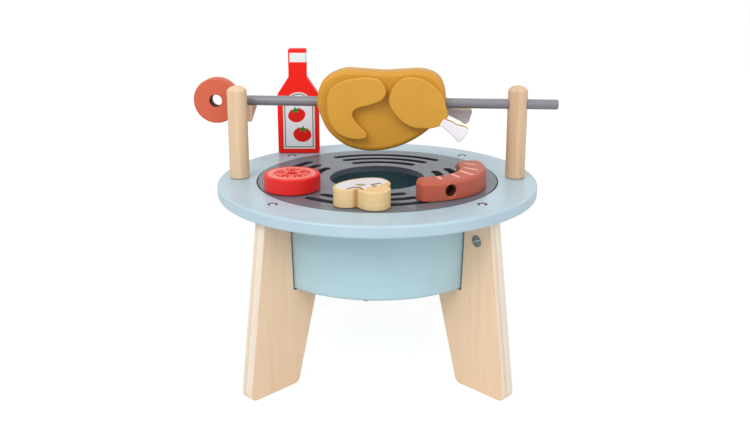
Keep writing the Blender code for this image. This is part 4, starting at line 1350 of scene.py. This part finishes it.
def make_mushroom():
    """The mushroom slice: a white cap and brown gills printed on cream wood."""
    wide, stem, steps = mushroom_half_width, mushroom_stem_half_width, mushroom_steps
    high, left, right = mushroom_dome_height, mushroom_left_lobe_drop, mushroom_right_lobe_drop
    outline = oval_arc((0, 0), wide, high, 0, pi, steps)
    outline += oval_arc((-stem, 0), wide - stem, left, pi, 3 * pi / 2, steps // 2)[1:]
    outline += arc((0, -mushroom_stem_length), stem, pi, 2 * pi, steps)
    outline += oval_arc((stem, 0), wide - stem, right, -pi / 2, 0, steps // 2)[:-1]
    place = grill_axis @ moved(*mushroom_place_shares * plate_radius, food_height) @ spun(mushroom_turn)
    mesh = board("mushroom", outline, 0, mushroom_height, mushroom_edge_radius, rim_steps)
    show("mushroom", mesh, ["mushroom"], "mushroom_piece", place, "cream_wood")
    face = place @ moved(0, 0, mushroom_height)
    margin = mushroom_print_margin
    lobe = wide - margin - stem
    cap = oval_arc((0, 0), wide - margin, high - margin, 0, pi, steps)
    cap += oval_arc((-stem, 0), lobe, left - margin, pi, pi + mushroom_white_turn, steps // 3)[1:]
    cap += [(x * wide, y * wide) for x, y in mushroom_white_border_shares]
    cap += oval_arc((stem, 0), lobe, right - margin, -mushroom_white_turn / 2, 0, steps // 6)[:-1]
    print_patch("mushroom_cap_white", cap, 0, "print_cap", "mushroom_piece", face)
    for name, look, share, points in mushroom_line_shares:
        line = [(x * wide, y * wide) for x, y in points]
        print_patch(name, stroke(line, mushroom_line_width * share), 1, look, "mushroom_piece", face)


def sausage_outline():
    """A bent sausage about its bend centre, with flattened round ends."""
    radius, half, steps = sausage_bend_radius, sausage_half_width, sausage_steps
    outline = []
    for side, start, end in ((1, sausage_start, sausage_end), (-1, sausage_end, sausage_start)):
        outline += arc((0, 0), radius + side * half, start, end, 2 * steps)
        across = Vector((cos(end), sin(end)))
        along = Vector((-sin(end), cos(end))) * side
        for step in range(1, steps):
            turn = pi * step / steps
            spot = across * (radius + side * half * cos(turn)) + along * (sausage_end_depth * sin(turn))
            outline.append((spot.x, spot.y))
    return outline


def sausage_top_at(x, y):
    """The height of the sausage's upper side, which falls off at its rounded sides."""
    edge = sausage_top_edge_radius
    past = abs(hypot(x, y) - sausage_bend_radius) - (sausage_half_width - edge)
    if past <= 0:
        return sausage_height
    return sausage_height - edge + sqrt(max(edge ** 2 - past ** 2, 0))


def grill_mark(turn, slant, length, inward):
    """A thin coat of paint that lies over the sausage's rounded top, from side to side."""
    centre = Vector((cos(turn), sin(turn))) * (sausage_bend_radius - inward)
    way = Vector((cos(turn + slant), sin(turn + slant)))
    side = Vector((-way.y, way.x))
    work = bmesh.new()
    rows = []
    for step in range(stripe_steps + 1):
        share = 2 * step / stripe_steps - 1
        half = stripe_half_width * sqrt(max(1 - abs(share) ** 5, 0.0)) + print_sink
        row = []
        for place in range(stripe_steps_across + 1):
            over = 2 * place / stripe_steps_across - 1
            flat = centre + way * (length / 2 * share) + side * (half * over)
            row.append(work.verts.new((flat.x, flat.y, sausage_top_at(*flat) + print_thickness)))
        rows.append(row)
    for low, high in zip(rows, rows[1:]):
        join_rows(work, low, high, closed=False)
    made = bmesh.ops.extrude_face_region(work, geom=list(work.faces))
    lowered = [item for item in made["geom"] if isinstance(item, bmesh.types.BMVert)]
    bmesh.ops.translate(work, verts=lowered, vec=(0, 0, -print_thickness - print_sink))
    return mesh_from(work, "sausage_mark")


def make_sausage():
    """The bent sausage with a blind hole in its outer side and grill marks that follow its rounded top."""
    place = grill_axis @ moved(*sausage_place_shares * plate_radius, food_height)
    mesh = board("sausage", sausage_outline(), 0, sausage_height, sausage_top_edge_radius,
                 sausage_rim_steps, sausage_low_edge_radius)
    outer = sausage_bend_radius + sausage_half_width
    radius, chamfer = sausage_hole_radius, sausage_hole_chamfer
    end = outer - sausage_hole_depth
    profile = [(0, end), (radius, end), (radius, outer - chamfer), (radius + chamfer, outer),
               (radius + chamfer, outer + cut_overrun), (0, outer + cut_overrun)]
    hole = along_x(turned("sausage_hole", profile))
    mesh = carve(mesh, [(hole, moved(0, 0, sausage_height / 2) @ spun(sausage_hole_turn))])
    way = Vector((cos(sausage_hole_turn), sin(sausage_hole_turn), 0))
    middle = Vector((0, 0, sausage_height / 2))

    def inside(centre, normal):
        along = (centre - middle).dot(way)
        aside = (centre - middle - way * along).length
        return 0 < along < outer - chamfer / 2 and aside < radius + chamfer / 8

    # The hole's inside gets the dark bored wood, bare wood with painted shade
    paint_faces(mesh, 1, inside)
    show("sausage", mesh, ["sausage", "hole"], "sausage_piece", place, "sausage_paint")
    for index, row in enumerate(stripe_rows):
        show(f"sausage_mark_{index + 1}", grill_mark(*row), ["print_stripe"], "sausage_piece", place)


def bottle_outline():
    """The bottle's front outline, with its foot on y = 0."""
    wide, neck = bottle_half_width, bottle_neck_half_width
    corner, shoulder = bottle_corner_radius, bottle_shoulder_radius
    neck_foot = bottle_body_height + bottle_shoulder_height
    right = [(wide, 0, corner), (wide, bottle_body_height, shoulder), (neck, neck_foot, shoulder / 2),
             (neck, neck_foot + bottle_neck_height, corner)]
    return rounded_corners(right + [(-x, y, radius) for x, y, radius in reversed(right)])


def label_outline():
    """The arched label."""
    wide, foot, side = label_half_width, label_foot, label_side_height
    dome = oval_arc((0, side), label_arch_half_width, label_top - side, 0, pi, label_steps)
    return [(wide, foot), (wide, side), *dome, (-wide, side), (-wide, foot)]


def fruit_outline(size):
    """A drawn tomato, a little flat and wide, with a shallow dent at its top."""
    outline = []
    for x, y in circle(1, fruit_steps):
        wide = size * (1 + fruit_bulge_share * (x * x - y * y))
        high = size * fruit_height_share * (1 - fruit_dent_share * max(y, 0) ** 6)
        outline.append((x * wide, y * high))
    return outline


def leaf_outline(size):
    """The drawn tomato's leaves, a flattened star at its top."""
    leaf = []
    for step in range(2 * leaf_count):
        turn = pi / 2 + pi * step / leaf_count
        reach = size * (leaf_short_share if step % 2 else leaf_long_share)
        leaf.append((reach * cos(turn), leaf_flat_share * (size + reach * sin(turn))))
    return leaf


def make_bottle():
    """The flat sauce bottle with a white band and an arched label on each face."""
    half = bottle_thickness / 2
    low, high = bottle_band_low, bottle_band_high
    place = grill_axis @ moved(*bottle_place_shares * ring_radius, food_height)
    left = -bottle_neck_half_width + bottle_band_margin
    planes = [((0, low, 0), (0, 1, 0)), ((0, high, 0), (0, 1, 0)), ((left, 0, 0), (1, 0, 0)),
              ((-left, 0, 0), (1, 0, 0))]
    mesh = board("sauce_bottle", bottle_outline(), -half, half, bottle_edge_radius, rim_steps)
    mesh = split_along(mesh, planes)
    back_limit = -0.5
    paint_faces(mesh, 1, lambda centre, normal: low < centre.y < high
                and (centre.x if normal.z > back_limit else -centre.x) > left)
    show("sauce_bottle", upright(mesh), ["bottle", "band"], "bottle", place, "red_paint")
    edge = label_outline()
    line_outer = inset(edge, label_line_inset)
    line_inner = inset(line_outer, label_line_width)
    for name, turn in (("front", 0.0), ("back", pi)):
        face = place @ spun(turn) @ moved(label_right_of_middle, -half, 0) @ spun(pi / 2, "X")
        print_patch(f"label_border_{name}", edge, 0, "print_white", "bottle", face)
        print_patch(f"label_line_{name}", line_outer, 1, "print_green", "bottle", face)
        print_patch(f"label_field_{name}", line_inner, 2, "print_field", "bottle", face)
        for number, (x, y, size, tilt) in enumerate(label_tomatoes):
            spot = face @ moved(x, y, 0) @ spun(tilt)
            for part, outline, layer, look in (("tomato", fruit_outline(size), 3, "print_red"),
                                               ("leaf", leaf_outline(size), 4, "print_leaf")):
                print_patch(f"label_{part}_{name}_{number + 1}", outline, layer, look, "bottle", spot)


# Camera, floor and light


def make_camera():
    """The camera of the picture."""
    camera = add_object("camera", bpy.data.cameras.new("camera"))
    camera.data.sensor_width = camera_sensor_width
    camera.data.lens = camera_focal_pixels / image_width * camera_sensor_width
    camera.data.shift_y = camera_shift_pixels / image_width
    camera.data.clip_start = camera_clip_start
    camera.location = camera_place
    camera.rotation_euler = (pi / 2 - camera_pitch, 0, 0)
    bpy.context.scene.camera = camera


def make_floor():
    """A pale floor that the camera sees as white with a soft shadow."""
    work = bmesh.new()
    bmesh.ops.create_grid(work, x_segments=1, y_segments=1, size=floor_size)
    floor = add_object("floor", bpy.data.meshes.new("floor"))
    work.to_mesh(floor.data)
    work.free()
    floor.location = (0, 0, -floor_drop)
    made = bpy.data.materials.new("floor_white")
    made.use_nodes = True
    tree = made.node_tree
    tree.nodes.clear()
    plain = node(tree, "BsdfDiffuse", {"Color": tone(*floor_tone)})
    dim = node(tree, "BsdfDiffuse", {"Color": (floor_shadow_share,) * 3 + (1.0,)})
    glow = node(tree, "Emission", {"Strength": floor_glow})
    both = node(tree, "AddShader", {0: dim.outputs[0], 1: glow.outputs[0]})
    seen = node(tree, "LightPath", {}).outputs["Is Camera Ray"]
    pick = node(tree, "MixShader", {0: seen, 1: plain.outputs[0], 2: both.outputs[0]})
    node(tree, "OutputMaterial", {"Surface": pick.outputs[0]})
    floor.data.materials.append(made)


def make_surround():
    """A white surround that lights less than it shows."""
    world = bpy.data.worlds.new("surround")
    bpy.context.scene.world = world
    world.use_nodes = True
    tree = world.node_tree
    tree.nodes.clear()
    sky, seen = (node(tree, "Background", {"Strength": strength, "Color": (1, 1, 1, 1)})
                 for strength in (sky_strength, 1.0))
    rays = node(tree, "LightPath", {}).outputs
    either = node(tree, "Math", {0: rays["Is Camera Ray"], 1: rays["Is Glossy Ray"]}, operation="MAXIMUM")
    pick = node(tree, "MixShader", {0: either.outputs[0], 1: sky.outputs[0], 2: seen.outputs[0]})
    node(tree, "OutputWorld", {"Surface": pick.outputs[0]})


def make_lamps():
    """Soft lamps that look at the table top's middle."""
    for name, spot, size, power in lamps:
        lamp = bpy.data.lights.new(name, "AREA")
        lamp.shape = "RECTANGLE"
        lamp.size, lamp.size_y = size
        lamp.energy = power
        holder = add_object(name, lamp)
        holder.location = spot
        way = Vector((0, 0, ring_top_height)) - Vector(spot)
        holder.rotation_euler = way.to_track_quat("-Z", "Y").to_euler()


ring_low, ring_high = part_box("tabletop_ring")
grill_axis = moved((ring_low.x + ring_high.x) / 2)
spit_axis = grill_axis @ moved(post_offset, 0, rod_axis_height) @ spun(spit_turn)

make_table_top()
make_plate()
make_bowl()
make_legs()
make_posts()
make_spit()
make_chicken()
make_tomato()
make_mushroom()
make_sausage()
make_bottle()
bpy.context.scene.view_settings.view_transform = "Standard"
make_camera()
make_floor()
make_surround()
make_lamps()
